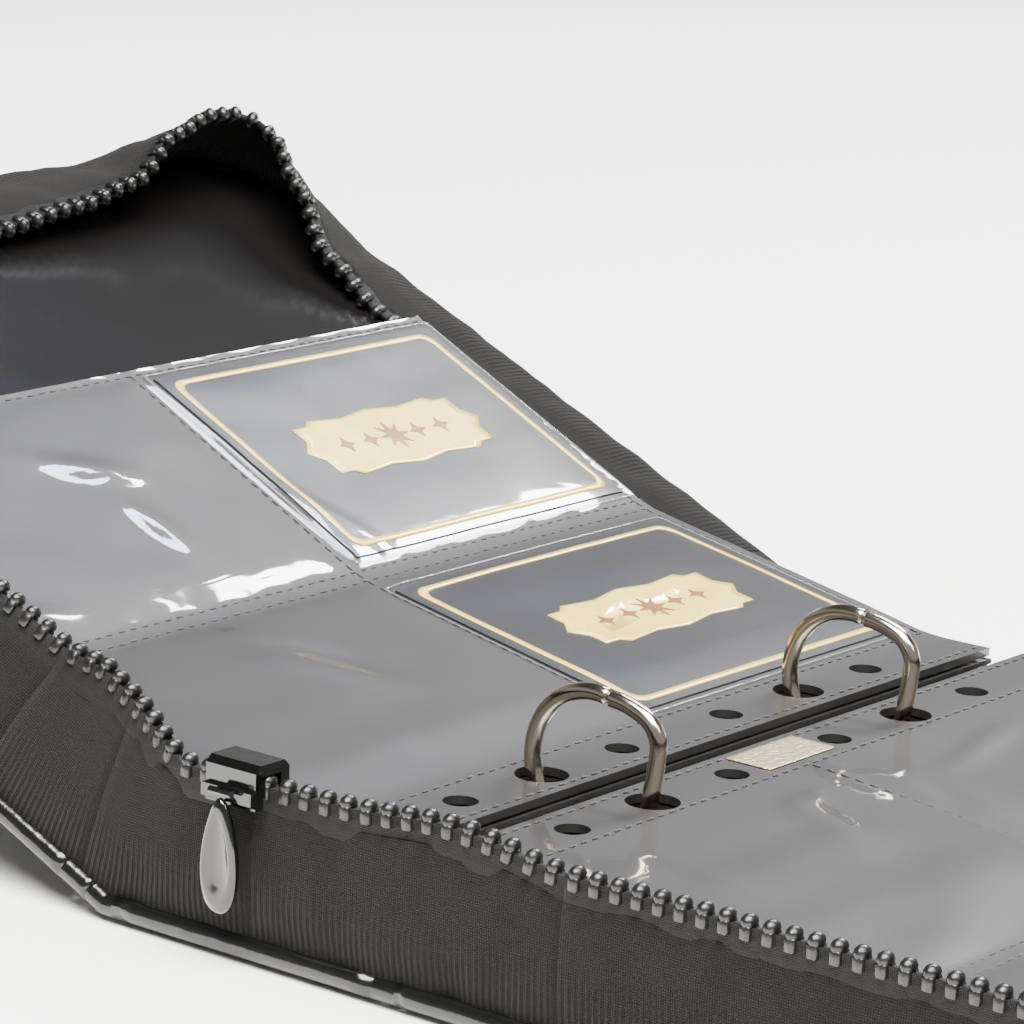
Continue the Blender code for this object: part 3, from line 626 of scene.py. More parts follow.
WALL_FOOT = 2.5 * MM
GUSSET_REACH = 35 * MM
UPRIGHT = ((0.0, 0), (1.0, 0))
EVEN = ((0.0, 1.0), (1.0, 1.0))
FRONT_LEAN = ((0.0, 25), (0.22, 20), (0.30, 26), (0.37, 66), (0.46, 82), (0.53, 80), (0.575, 73), (0.605, 65),
              (0.632, 44), (0.655, 36.5), (0.70, 40), (0.735, 43), (0.76, 56), (0.79, 76),
              (0.82, 88), (1.0, 88))
FRONT_LENGTH = ((0.0, 1.07), (0.28, 1.0), (0.77, 1.0), (0.84, 0.78), (1.0, 0.74))
BACK_TOP = 26.9 * MM
FRONT_TOP = 26.6 * MM

front_run = edge_run(GUSSET_REACH - (cover_hinge - spine_hinge).length, front_width, edge_y, CORNER)
back_run = edge_run(GUSSET_REACH, back_width, edge_y, CORNER)
front_spots = leaning_spots(front_plane, front_run, WALL_FOOT, FRONT_LEAN, FRONT_LENGTH)
back_spots = leaning_spots(back_plane, back_run, WALL_FOOT, UPRIGHT, EVEN)


GUSSET_TOP, GUSSET_CLIMB = 32.6 * MM, 11.6 * MM  # its top at the spine, and how far that climbs
GUSSET_HUMP, HUMP_X, HUMP_WIDE = 1.8 * MM, 29 * MM, 14 * MM
RAKE_START = -28 * MM


def gusset_spots(end):
    """Where a spine-end gusset stands: its foot climbs the front cover, and its rise rakes back with it."""
    y = -edge_y if end == "near" else edge_y
    inward = Vector((0, -1 if end == "far" else 1, 0))
    first = front_spots[0] if end == "near" else front_spots[-1]
    last = back_spots[0] if end == "near" else back_spots[-1]
    start, stop = first[0].x, last[0].x
    count = 56
    spots = []
    for i in range(count + 1):
        x = start + (stop - start) * i / count
        climb = max(0.0, spine_hinge.x - x) * math.tan(COVER_TILT)
        foot = Vector((x, y, back_hinge.z + WALL_FOOT + climb * 1.02))
        share = min(max((RAKE_START - x) / (RAKE_START - start), 0.0), 1.0)
        rake = COVER_TILT * share
        if end == "near":
            hump = GUSSET_HUMP * math.exp(-(((x - HUMP_X) / HUMP_WIDE) ** 2))
            top = GUSSET_TOP + GUSSET_CLIMB * share ** 0.9 + hump
            lean = math.radians(25) * share
            length = (top - foot.z) / math.cos(rake) / math.cos(lean)
            blend = min(1.0, i / 5, (count - i) / 5)
            length = length * blend + (1.07 * FRONT_TOP if i < count / 2 else BACK_TOP) * (1 - blend)
        else:
            lean = math.radians(eased(FAR_GUSSET_LEAN, (stop - x) / (stop - start)))
            length = BACK_TOP * eased(FAR_GUSSET_LENGTH, (stop - x) / (stop - start))
        rise = Vector((0, 0, math.cos(lean))) + inward * math.sin(lean)
        normal = inward * math.cos(lean) - Vector((0, 0, math.sin(lean)))
        turn = Matrix.Rotation(rake, 3, "Y")
        spots.append((foot, turn @ rise, turn @ normal, length / BACK_TOP))
    return spots


FAR_GUSSET_LEAN = ((0.0, 0), (0.16, 22), (0.36, 66), (0.5, 78), (0.7, 84), (1.0, 88))
FAR_GUSSET_LENGTH = ((0.0, 1.0), (0.3, 0.86), (0.5, 0.76), (1.0, 0.73))
near_spots, far_spots = gusset_spots("near"), gusset_spots("far")

SPINE_FIXED = (-24 * MM, -2 * MM)  # the stretch of a gusset that stays with the spine


def ride_with(body):
    return lambda piece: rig.ride(piece, body)


def bend_between(a, b, from_point, to_point):
    return lambda piece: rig.blend(piece, a, b, from_point, to_point)


def gusset_lengths(end, spots):
    """A gusset in three lengths, each of which bends across one joint."""
    first = next(i for i, spot in enumerate(spots) if spot[0].x >= cover_hinge.x)
    second = next(i for i, spot in enumerate(spots) if spot[0].x >= sum(SPINE_FIXED) / 2)
    y = spots[0][0].y
    left, right = (Vector((x, y, spine_hinge.z)) for x in SPINE_FIXED)
    return (
        (f"{end}_gusset_middle", spots[first : second + 1],
         bend_between("spine", "front_strip", left, spots[first][0])),
        (f"{end}_gusset_back", spots[second:], bend_between("spine", "back_cover", right, spots[-1][0])),
        (f"{end}_gusset_front", spots[: first + 1],
         bend_between("front_strip", "front_cover", spots[first][0], spots[0][0])),
    )


walls = [
    ("front_wall", "front_wall", "front_zip_chain", front_spots, FRONT_TOP, 1.2 * MM,
     ride_with("front_cover")),
    ("back_wall", "back_wall", "back_zip_chain", back_spots, BACK_TOP, 0.6 * MM, ride_with("back_cover")),
]
for end, spots in (("near", near_spots), ("far", far_spots)):
    for name, part, carry in gusset_lengths(end, spots):
        stands_for = (f"{end}_gusset", f"{end}_gusset_zip") if "middle" in name else (None, None)
        walls.append((name, *stands_for, part, BACK_TOP, 1.6 * MM, carry))
for seed, (name, node_name, _, spots, top, creases, carry) in enumerate(walls):
    cloth = band(f"{name}_cloth", spots, -0.8 * MM, top - TAPE_WIDTH + 2 * MM, nylon, 1.1 * MM, 0.9 * MM, 9,
                 creases, 11 + 7 * seed)
    tape = band(f"{name}_tape", spots, top - TAPE_WIDTH, top - 1.6 * MM, tape_weave, 1.3 * MM, 0.0, 3)
    if node_name:
        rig.replaces(cloth, node_name)
    for piece, look in ((cloth, "fabric"), (tape, "zip")):
        applied(piece)
        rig.slot(piece, look)
        carry(piece)


# ---------------------------------------------------------------- zip teeth
# A moulded plastic chain: each tooth is one nylon moulding clamped over the tape's corded edge, with a
# rounded head and a short clamped tail. Set out one by one along the tape.

TOOTH_PITCH = 4.1 * MM

zip_plastic, zip_tree, zip_shader = finish_of("moulded zip plastic", "0B0B0B", 0.34, Specular_IOR_Level=0.55)
bump_into(zip_tree, zip_shader, own_noise(zip_tree, 1500.0, 2.0), 0.25, 0.0003)


def tooth_shape():
    """One tooth with its tape edge at the origin, its head up z and the chain running along x."""
    work = bmesh.new()
    bmesh.ops.create_uvsphere(work, u_segments=10, v_segments=6, radius=1.0)
    bmesh.ops.scale(work, vec=(1.35 * MM, 1.8 * MM, 1.35 * MM), verts=work.verts)
    bmesh.ops.translate(work, vec=(0, 0, -1.3 * MM), verts=work.verts)
    tail = bmesh.ops.create_cube(work, size=1.0)["verts"]
    bmesh.ops.scale(work, vec=(2.0 * MM, 3.1 * MM, 2.6 * MM), verts=tail)
    bmesh.ops.translate(work, vec=(0, 0, -2.9 * MM), verts=tail)
    edges = [e for e in work.edges if all(v in tail for v in e.verts)]
    bmesh.ops.bevel(work, geom=edges, offset=0.3 * MM, segments=1, affect="EDGES")
    return from_bmesh("tooth_pattern", work, zip_plastic)


def set_out(name, places, pattern, finish_material):
    """Copies a pattern at each (place, along, up) by geometry nodes, and returns one plain mesh."""
    cloud = bpy.data.meshes.new(name)
    cloud.from_pydata([p for p, _, _ in places], [], [])
    for key, index in (("along", 1), ("up", 2)):
        values = cloud.attributes.new(key, "FLOAT_VECTOR", "POINT")
        values.data.foreach_set("vector", [c for place in places for c in place[index]])
    carrier = put(name, cloud, finish_material, smooth=False)
    tree = bpy.data.node_groups.new(f"{name}_layout", "GeometryNodeTree")
    tree.interface.new_socket("Geometry", in_out="INPUT", socket_type="NodeSocketGeometry")
    size = tree.interface.new_socket("Size", in_out="INPUT", socket_type="NodeSocketFloat")
    size.default_value = 1.0
    tree.interface.new_socket("Geometry", in_out="OUTPUT", socket_type="NodeSocketGeometry")
    start = add(tree, "NodeGroupInput")
    along = add(tree, "GeometryNodeInputNamedAttribute", {"Name": "along"}, data_type="FLOAT_VECTOR")
    up = add(tree, "GeometryNodeInputNamedAttribute", {"Name": "up"}, data_type="FLOAT_VECTOR")
    turn = add(tree, "FunctionNodeAxesToRotation", {"Primary Axis": up.outputs["Attribute"],
                                                   "Secondary Axis": along.outputs["Attribute"]},
               primary_axis="Z", secondary_axis="X")
    shape = add(tree, "GeometryNodeObjectInfo", {"Object": pattern})
    copies = add(tree, "GeometryNodeInstanceOnPoints", {"Points": start.outputs["Geometry"],
                                                       "Instance": shape.outputs["Geometry"],
                                                       "Rotation": turn.outputs["Rotation"],
                                                       "Scale": start.outputs["Size"]})
    real = add(tree, "GeometryNodeRealizeInstances", {"Geometry": copies.outputs["Instances"]})
    coat = add(tree, "GeometryNodeSetMaterial", {"Geometry": real.outputs["Geometry"],
                                                "Material": finish_material})
    add(tree, "NodeGroupOutput", {"Geometry": coat.outputs["Geometry"]})
    layout = carrier.modifiers.new("layout", "NODES")
    layout.node_group = tree
    layout[size.identifier] = 1.0
    return applied(carrier)


def along_edge(spots, height, pitch):
    """(place, along, up) at even steps along a wall's top edge."""
    tops = [foot + rise * height * reach_up for foot, rise, _, reach_up in spots]
    lengths = [0.0]
    for a, b in zip(tops, tops[1:]):
        lengths.append(lengths[-1] + (b - a).length)
    count = int(lengths[-1] / pitch)
    places, i = [], 0
    for k in range(count):
        s = (k + 0.5) * lengths[-1] / count
        while lengths[i + 1] < s:
            i += 1
        part = (s - lengths[i]) / (lengths[i + 1] - lengths[i])
        along = (tops[i + 1] - tops[i]).normalized()
        rise = spots[i][1].lerp(spots[i + 1][1], part)
        places.append((tops[i].lerp(tops[i + 1], part), along, (rise - along * rise.dot(along)).normalized()))
    return places


tooth = tooth_shape()
for name, _, chain_name, spots, top, _, carry in walls:
    teeth = set_out(f"{name}_teeth", along_edge(spots, top + 0.4 * MM, TOOTH_PITCH), tooth, zip_plastic)
    if chain_name:
        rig.replaces(teeth, chain_name)
    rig.slot(teeth, "zip")
    carry(teeth)
bpy.data.objects.remove(tooth)


# ---------------------------------------------------------------- slider and pull
# A die-cast slider in glossy black enamel, which straddles the chain at the spine's near end, with a
# long drop-shaped pull that hangs down outside the wall.

enamel, enamel_tree, enamel_shader = finish_of("black enamel on zinc", "070707", 0.16, Coat_Weight=0.6,
                                               Coat_Roughness=0.05)
bump_into(enamel_tree, enamel_shader, own_noise(enamel_tree, 240.0, 1.0), 0.2, 0.0006)
rounded("zip_slider", "zip_slider", "pull", enamel, 0.9 * MM, 4)
paint("zip_pull_pin", enamel)

pull_low, pull_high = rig.box("zip_pull_tab")
pull_x, pull_y = (pull_low.x + pull_high.x) / 2, (pull_low.y + pull_high.y) / 2
pull_half, pull_tall = (pull_high.x - pull_low.x) / 2 * 1.25, pull_high.z - pull_low.z


def drop_outline(scale, count=40):
    """A drop: narrow at the top and round at the bottom."""
    points = []
    for i in range(count):
        t = 2 * math.pi * i / count
        depth = (1 - math.cos(t)) / 2
        width = pull_half * math.sin(t) * (0.55 + 0.45 * depth)
        points.append((pull_x + width * scale, pull_high.z - pull_tall * (0.5 + (depth - 0.5) * scale)))
    return points


work = bmesh.new()
thick = (pull_high.y - pull_low.y) / 2
outer_rings = [[work.verts.new((x, pull_y + side * thick * depth, z)) for x, z in drop_outline(scale)]
               for side, depth, scale in ((-1, 1.0, 0.80), (-1, 0.75, 0.95), (-1, 0.2, 1.0), (1, 0.2, 1.0),
                                          (1, 0.75, 0.95), (1, 1.0, 0.80))]
dished = [[work.verts.new((x, pull_y + side * thick * depth, z)) for x, z in drop_outline(scale)]
          for side, depth, scale in ((-1, 0.95, 0.66), (-1, 0.45, 0.55), (1, 0.45, 0.55), (1, 0.95, 0.66))]
skin_rings(work, [dished[1], dished[0], *outer_rings, dished[3], dished[2]])
pull = from_bmesh("zip_pull", work, enamel)
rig.replaces(pull, "zip_pull_tab")
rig.slot(pull, "pull")
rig.ride(pull, "zip_pull")


# ---------------------------------------------------------------- ring mechanism
# Two D-rings of nickel-plated wire, each split at the top, on sprung blades under a pressed steel
# plate that is riveted to the spine.

nickel, nickel_tree, nickel_shader = finish_of("bright nickel plate", "C9BFB0", 0.13, 1.0)
nickel_rub = own_noise(nickel_tree, 420.0, 5.0)
nickel_range = add(nickel_tree, "ShaderNodeMapRange", {"Value": nickel_rub, "To Min": 0.08, "To Max": 0.26})
nickel_tree.links.new(nickel_range.outputs["Result"], nickel_shader.inputs["Roughness"])
bump_into(nickel_tree, nickel_shader, nickel_rub, 0.12, 0.0002)

steel, steel_tree, steel_shader = finish_of("plated pressed steel", "A7A39B", 0.34, 1.0)
steel_spot = add(steel_tree, "ShaderNodeTexCoord").outputs["Object"]
steel_stretch = add(steel_tree, "ShaderNodeMapping", {"Vector": steel_spot, "Scale": (1.0, 0.05, 1.0)})
steel_lines = add(steel_tree, "ShaderNodeTexNoise", {"Vector": steel_stretch.outputs["Vector"],
                                                     "Scale": 1800.0, "Detail": 2.0})
bump_into(steel_tree, steel_shader, steel_lines.outputs["Fac"], 0.2, 0.0002)
rounded("ring_base_plate", "spine", "steel", steel, 0.3 * MM, 2)
for part, body in (("ring_blade_left", "ring_halves_left"), ("ring_blade_right", "ring_halves_right")):
    rounded(part, body, "steel", steel, 0.25 * MM, 2)
for part in ("ring_rivet_near", "ring_rivet_far"):
    paint(part, steel)
for end in ("near", "far"):
    rounded(f"ring_lever_{end}", f"lever_{end}", "lever", enamel, 0.5 * MM)

WIRE_RADIUS = 1.6 * MM
RING_RADIUS = 13.6 * MM
RING_SPLIT, RING_FOOT = 77, 238


def smooth_line(points, count):
    """Even points on a smooth curve through a few chosen ones."""
    knots = [Vector(p) for p in points]
    knots = [2 * knots[0] - knots[1], *knots, 2 * knots[-1] - knots[-2]]
    fine = []
    for a, b, c, d in zip(knots, knots[1:], knots[2:], knots[3:]):
        for k in range(10):
            t = k / 10
            fine.append(0.5 * (2 * b + (c - a) * t + (2 * a - 5 * b + 4 * c - d) * t * t
                               + (3 * b - a - 3 * c + d) * t ** 3))
    fine.append(knots[-2])
    return fine[:: max(1, len(fine) // count)] + [fine[-1]]


for end, y in (("near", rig.box("ring_near_left_half")), ("far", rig.box("ring_far_left_half"))):
    ring_y = (y[0].y + y[1].y) / 2
    turns = [math.radians(RING_SPLIT + (RING_FOOT - RING_SPLIT) * i / 48) for i in range(49)]
    hoop = [(ring_middle.x + RING_RADIUS * math.cos(t), ring_y, ring_middle.z + RING_RADIUS * math.sin(t))
            for t in turns]
    taper = [WIRE_RADIUS * 0.86, *[WIRE_RADIUS] * 48]
    left_half = rod(f"ring_{end}_hoop", hoop, WIRE_RADIUS, 20, nickel, taper)
    post = [(3.36, 33.4), (6.0, 33.1), (8.6, 32.4), (11.4, 31.2), (13.2, 29.4), (14.1, 27.0), (13.9, 23.4),
            (13.2, 18.6), (12.5, 14.5), (11.3, 11.2), (9.6, 8.2)]
    line = smooth_line([(x * MM, ring_y, z * MM) for x, z in post], 60)
    right_half = rod(f"ring_{end}_post", line, WIRE_RADIUS, 20, nickel,
                     [WIRE_RADIUS * 0.86, *[WIRE_RADIUS] * (len(line) - 1)])
    for half, side in ((left_half, "left"), (right_half, "right")):
        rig.replaces(half, f"ring_{end}_{side}_half")
        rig.slot(half, "nickel")
        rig.ride(half, f"ring_halves_{side}")


# ---------------------------------------------------------------- pocket pages
# Four-pocket pages: a black non-woven backing with clear polypropylene film sewn over it, punched
# along the inner strip. The film is under tension between its seams, so it swells and creases.

PAGE_HALF = 95 * MM
STRIP_EDGE, FLAT_STRIP, ROW_ONE, ROW_TWO = 8.5 * MM, 6 * MM, 80.4 * MM, 72 * MM
RING_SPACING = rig.box("ring_far_left_half")[0].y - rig.box("ring_near_left_half")[0].y
PUNCHED = [(sign * RING_SPACING / 2, 5.0 * MM) for sign in (-1, 1)]
PUNCHED += [(sign * y, 3.25 * MM) for y in (16.25 * MM, 63 * MM) for sign in (-1, 1)]


def page_section(side, hole_x, top, tilts, bend=5 * MM):
    """A page's section: the place at a distance out from the hole row and a height over it, with softened bends."""
    step = 0.5 * MM
    spans = int((STRIP_EDGE + ROW_ONE + ROW_TWO) / step)
    us = [-STRIP_EDGE + step * i for i in range(spans + 1)]

    def slope(u):
        inner = min(max((u - FLAT_STRIP + bend) / (2 * bend), 0.0), 1.0)
        outer = min(max((u - ROW_ONE + bend) / (2 * bend), 0.0), 1.0)
        return math.radians(tilts[0] * inner + (tilts[1] - tilts[0]) * outer)

    xs, zs = [0.0], [0.0]
    for u in us[1:]:
        xs.append(xs[-1] + step * math.cos(slope(u)))
        zs.append(zs[-1] + step * math.sin(slope(u)))
    x0, z0 = np.interp(0.0, us, xs), np.interp(0.0, us, zs)

    def at(u, y, height):
        turn = slope(u)
        x, z = np.interp(u, us, xs) - x0, np.interp(u, us, zs) - z0
        x, z = x - height * math.sin(turn), z + height * math.cos(turn)
        return Vector((hole_x + side * float(x), y, top + float(z)))

    return at


def swell(seams_u, seams_y, amount, wave, seed, folds):
    """A page's height over its backing: pillowed between seams, waved, and pinched at each seam. folds are
    chosen creases: (u, y, length, width, turn, height), the first four in mm and the turn in degrees."""

    def height(u, y):
        edge = min(min(abs(u - s) for s in seams_u), min(abs(y - s) for s in seams_y))
        pillow = amount * (1 - math.exp(-edge / (5 * MM)))
        ripples = wave * noise.noise(Vector((u * 26, y * 13, seed))) * 1.3
        ripples += wave * 0.45 * noise.noise(Vector((u * 75, y * 48, seed + 7)))
        fade = min(max((u - 9 * MM) / (14 * MM), 0.0), 1.0)
        pucker = 0.07 * MM * math.sin(y / (2.1 * MM)) * math.exp(-edge / (2.2 * MM))
        raised = 0.0
        for fold_u, fold_y, long, wide, turn, high in folds:
            du, dy = u / MM - fold_u, y / MM - fold_y
            c, s = math.cos(math.radians(turn)), math.sin(math.radians(turn))
            across, along = (du * c + dy * s) / wide, (dy * c - du * s) / long
            if abs(across) < 3 and abs(along) < 3:
                raised += high * MM * math.exp(-across * across - along * along)
        held = 1 - math.exp(-edge / (4 * MM))
        return (pillow + ripples * (1 - math.exp(-edge / (7 * MM))) + raised * held) * fade + pucker * min(
            fade + 0.25, 1)

    return height


def page_sheet(name, at, height, thick, finish_material, step=1.6 * MM, ends=None, holes=True,
               half=PAGE_HALF):
    """A closed sheet over a section, its top face raised by a height, punched and edged."""
    start, end = ends or (-STRIP_EDGE, ROW_ONE + ROW_TWO)
    rows, columns = max(2, int((end - start) / step)), max(2, int(2 * half / step))
    work = bmesh.new()
    faces_up = []
    for lift in (0.0, -thick):
        grid = []
        for i in range(rows + 1):
            u = start + (end - start) * i / rows
            line = []
            for j in range(columns + 1):
                y = -half + 2 * half * j / columns
                line.append(work.verts.new(at(u, y, height(u, y) + lift if lift == 0.0 else lift)))
            grid.append(line)
        faces_up.append(grid)
    top, bottom = faces_up
    for i in range(rows):
        for j in range(columns):
            work.faces.new((top[i][j], top[i + 1][j], top[i + 1][j + 1], top[i][j + 1]))
            work.faces.new((bottom[i][j], bottom[i][j + 1], bottom[i + 1][j + 1], bottom[i + 1][j]))
    rim = [(i, 0) for i in range(rows)] + [(rows, j) for j in range(columns)]
    rim += [(i, columns) for i in range(rows, 0, -1)] + [(0, j) for j in range(columns, 0, -1)]
    for (a, b), (c, d) in zip(rim, rim[1:] + rim[:1]):
        work.faces.new((top[a][b], bottom[a][b], bottom[c][d], top[c][d]))
    made = from_bmesh(name, work, finish_material)
    if holes:
        punch = bmesh.new()
        for y, radius in PUNCHED:
            rings = []
            for lift in (-4 * MM, 4 * MM):
                turns = [2 * math.pi * k / 28 for k in range(28)]
                rings.append([punch.verts.new(at(radius * math.cos(t), y + radius * math.sin(t), 0.0)
                                              + Vector((0, 0, lift))) for t in turns])
            skin_rings(punch, rings)
        tool = from_bmesh("punch", punch, finish_material)
        cutting = made.modifiers.new("holes", "BOOLEAN")
        cutting.operation, cutting.solver, cutting.object = "DIFFERENCE", "EXACT", tool
        applied(made)
        bpy.data.objects.remove(tool)
    made.data.set_sharp_from_angle(angle=math.radians(40))
    return made


def film_over(name, colour, speck, roughness=0.5, wrinkle=0.5):
    """Black non-woven backing seen through clear film. The film is the coat, with its own fine creases."""
    made, tree, shader = finish_of(name, colour, roughness, Coat_Weight=1.0, Coat_Roughness=0.045,
                                   Coat_IOR=1.5)
    spot = add(tree, "ShaderNodeTexCoord").outputs["Object"]
    fibre = add(tree, "ShaderNodeTexNoise", {"Vector": spot, "Scale": 1500.0, "Detail": 4.0,
                                             "Roughness": 0.7})
    tone = add(tree, "ShaderNodeMapRange", {"Value": fibre.outputs["Fac"], "To Min": 1 - speck,
                                            "To Max": 1 + speck})
    haze = add(tree, "ShaderNodeMapRange", {"Value": own_noise(tree, 34.0, 3.0), "To Min": 0.8,
                                            "To Max": 1.25})
    both = add(tree, "ShaderNodeMath", {0: tone.outputs["Result"], 1: haze.outputs["Result"]},
               operation="MULTIPLY")
    mixed = add(tree, "ShaderNodeMixRGB", {"Fac": 1.0, "Color1": linear(colour), "Color2": both.outputs[0]},
                blend_type="MULTIPLY")
    tree.links.new(mixed.outputs["Color"], shader.inputs["Base Color"])
    pulled = add(tree, "ShaderNodeMapping", {"Vector": spot, "Scale": (1.0, 0.35, 1.0)})
    creases = add(tree, "ShaderNodeTexNoise", {"Vector": pulled.outputs["Vector"], "Scale": 120.0,
                                               "Detail": 2.0, "Distortion": 0.6})
    bump_into(tree, shader, creases.outputs["Fac"], wrinkle, 0.0011, "Coat Normal")
    bump_into(tree, shader, fibre.outputs["Fac"], 0.3, 0.0002)
    return made


page_film = film_over("clear film over black backing", "1B1918", 0.35, wrinkle=0.12)
# The pages below take a darker copy of the top page's film: painted shade for lying under the top page.
shaded_under_film = film_over("clear film on the pages below", "171615", 0.3, wrinkle=0.12)

thread, thread_tree, thread_shader = finish_of("black sewing thread", "0B0B0B", 0.55, Sheen_Weight=0.2)
bump_into(thread_tree, thread_shader, own_noise(thread_tree, 3000.0, 1.0), 0.4, 0.0002)

STITCH_PITCH = 3.1 * MM
STITCH_LENGTH = 2.1 * MM
work = bmesh.new()
bmesh.ops.create_uvsphere(work, u_segments=8, v_segments=4, radius=1.0)
bmesh.ops.scale(work, vec=(STITCH_LENGTH / 2, 0.32 * MM, 0.26 * MM), verts=work.verts)
stitch = from_bmesh("stitch_pattern", work, thread)


def stitch_line(at, height, start, end):
    """Even stitches along a straight seam on a page, from one (u, y) to another."""
    start, end = np.array(start), np.array(end)
    length = float(np.linalg.norm(end - start))
    count = int(length / STITCH_PITCH)
    places = []
    for k in range(count):
        u, y = start + (end - start) * ((k + 0.5) / count)
        ahead_u, ahead_y = np.array((u, y)) + (end - start) / length * 0.5 * MM
        spot, ahead = at(u, y, height(u, y)), at(ahead_u, ahead_y, height(ahead_u, ahead_y))
        beside = at(u + 0.5 * MM, y, height(u, y)) - at(u, y, height(u, y))
        along = (ahead - spot).normalized()
        up = Vector((0, 1, 0)).cross(beside).normalized()
        if up.z < 0:
            up = -up
        places.append((spot + up * 0.1 * MM, along, up))
    return places


left_tilts, right_tilts = (10.9, 26.0), (-5.1, 0.0)
left_hole_x, left_top = -11.4 * MM, 16.2 * MM
right_hole_x, right_top = 13.4 * MM, 16.6 * MM
COLUMN = {"left": 2 * MM, "right": -0.5 * MM}
LAST = ROW_ONE + ROW_TWO
left_at = page_section(-1, left_hole_x, left_top, left_tilts)
right_at = page_section(1, right_hole_x, right_top, right_tilts)
left_seams = ((7 * MM, ROW_ONE - 1.6 * MM, ROW_ONE + 1.8 * MM, LAST - 2 * MM),
              (-PAGE_HALF + 2 * MM, COLUMN["left"], PAGE_HALF - 2 * MM))
right_seams = ((6 * MM, ROW_ONE - 1.6 * MM, ROW_ONE + 1.8 * MM, LAST - 2 * MM),
               (-PAGE_HALF + 2 * MM, COLUMN["right"], PAGE_HALF - 2 * MM))
LEFT_FOLDS = ((126, -34, 11, 3.2, 27, 0.8), (106, -31, 9, 3.0, 78, 0.75), (91, -81, 9, 2.6, 10, 0.8),
              (112, 6.5, 30, 2.2, 88, 0.7), (95, 12, 12, 2.2, 70, 0.6), (55, -42, 13, 4, 62, 0.8),
              (53, -33, 11, 2.4, 70, -0.5), (68, -40, 16, 4, 35, 0.4), (22, -50, 12, 3, 75, 0.35))
RIGHT_FOLDS = ((30, 6, 16, 7, 70, 1.1), (31, 6, 9, 3.5, 70, -0.9), (17, -19, 8, 3, 25, 0.8),
               (19, 38, 14, 3, 15, 0.8), (20, -63, 14, 2.2, 90, 0.5), (26, -24, 12, 4, 60, 0.6),
               (60, 40, 26, 7, 55, 0.9), (70, -50, 30, 8, 30, 0.8))
left_swell = swell(*left_seams, 0.7 * MM, 0.55 * MM, 3.0, LEFT_FOLDS)
right_swell = swell(*right_seams, 0.8 * MM, 0.8 * MM, 9.0, RIGHT_FOLDS)

PAGE_THICK = 1.6 * MM


def sew(name, at, height, seams, body):
    across, along_spine = seams
    lines = [((u, -PAGE_HALF + 1 * MM), (u, PAGE_HALF - 1 * MM)) for u in across]
    lines += [((across[0], y), (LAST - 1 * MM, y)) for y in along_spine]
    lines.append(((-STRIP_EDGE + 2 * MM, -PAGE_HALF + 1 * MM), (-STRIP_EDGE + 2 * MM, PAGE_HALF - 1 * MM)))
    places = [place for start, end in lines for place in stitch_line(at, height, start, end)]
    sewn = set_out(name, places, stitch, thread)
    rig.slot(sewn, "page")
    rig.ride(sewn, body)
    return sewn


FLAT_PAGE = (STRIP_EDGE + LAST, 2 * PAGE_HALF)
for side, at, height, seams, body in (("left", left_at, left_swell, left_seams, "left_top_page"),
                                      ("right", right_at, right_swell, right_seams, "right_pages")):
    page = page_sheet(f"{side}_top_pocket_page", at, height, PAGE_THICK, page_film)
    stitches = sew(f"{side}_page_stitches", at, height, seams, body)
    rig.replaces(page, f"{side}_page_film", f"{side}_page_backing")
    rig.slot(page, "page")
    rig.ride(page, body)
    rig.sheet(page, flat=FLAT_PAGE, held="laid", rests_on=[f"{side}_page_second"], with_pieces=[stitches])
bpy.data.objects.remove(stitch)

SHEET_STEP = 1.6 * MM  # from one sheet of a stack to the next
FIRST_DROP = 2.1 * MM  # from the top page to the sheet under it
stacks = (("left", -1, left_hole_x, (0.6 * MM, 1.2 * MM), left_top, left_tilts, "left_pages",
           "front_cover_lining"),
          ("right", 1, right_hole_x, (-0.8 * MM, -1.5 * MM), right_top, right_tilts, "right_pages",
           "back_cover_lining"))
k = 0
for stack, side, hole_x, shifts, top, tilts, body, board in stacks:
    for order, shift, below in (("second", shifts[0], f"{stack}_page_third"), ("third", shifts[1], board)):
        drop = FIRST_DROP + (SHEET_STEP if order == "third" else 0.0)
        section = page_section(side, hole_x + shift, top - drop, tilts)
        under = page_sheet(f"{stack}_page_{order}_pocket_page", section,
                           lambda u, y, n=k: 0.22 * MM * noise.noise(Vector((u * 30, y * 18, 20 + n))),
                           1.0 * MM, shaded_under_film, 3 * MM)
        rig.replaces(under, f"{stack}_page_{order}")
        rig.slot(under, "page")
        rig.ride(under, body)
        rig.sheet(under, flat=FLAT_PAGE, held="laid", rests_on=[below])
        k += 1


# ---------------------------------------------------------------- sleeved cards
# Card backs in dark grey with a thin gold frame and a gold plaque, each in a clear sleeve under the
# pocket film. The gold is a printed metallic ink.

card_ink = film_over("printed card under film", "17161A", 0.22, 0.35, 0.1)
gold_ink, gold_tree, gold_shader = finish_of("gold printing ink", "D9BE4A", 0.42, 0.0, Coat_Weight=1.0,
                                             Coat_Roughness=0.06)
gold_mix = add(gold_tree, "ShaderNodeMixRGB", {"Fac": own_noise(gold_tree, 120.0, 3.0),
                                               "Color1": linear("C39A2C"), "Color2": linear("EBD874")},
               blend_type="MIX")
gold_tree.links.new(gold_mix.outputs["Color"], gold_shader.inputs["Base Color"])
umber_ink, _, _ = finish_of("umber printing ink", "7A4A1E", 0.4, Coat_Weight=1.0, Coat_Roughness=0.06)

sleeve_film, _, _ = finish_of("clear sleeve edge", "8E8E90", 0.12, Coat_Weight=1.0, Alpha=0.25)


def flat_outline(at, height, outline, middle, lift):
    """An outline in the card's own millimetres, laid on the page round a middle (u, y)."""
    spots = []
    for across, along in outline:
        u, y = middle[0] + across, middle[1] + along
        spots.append(at(u, y, height(u, y) + lift))
    return spots


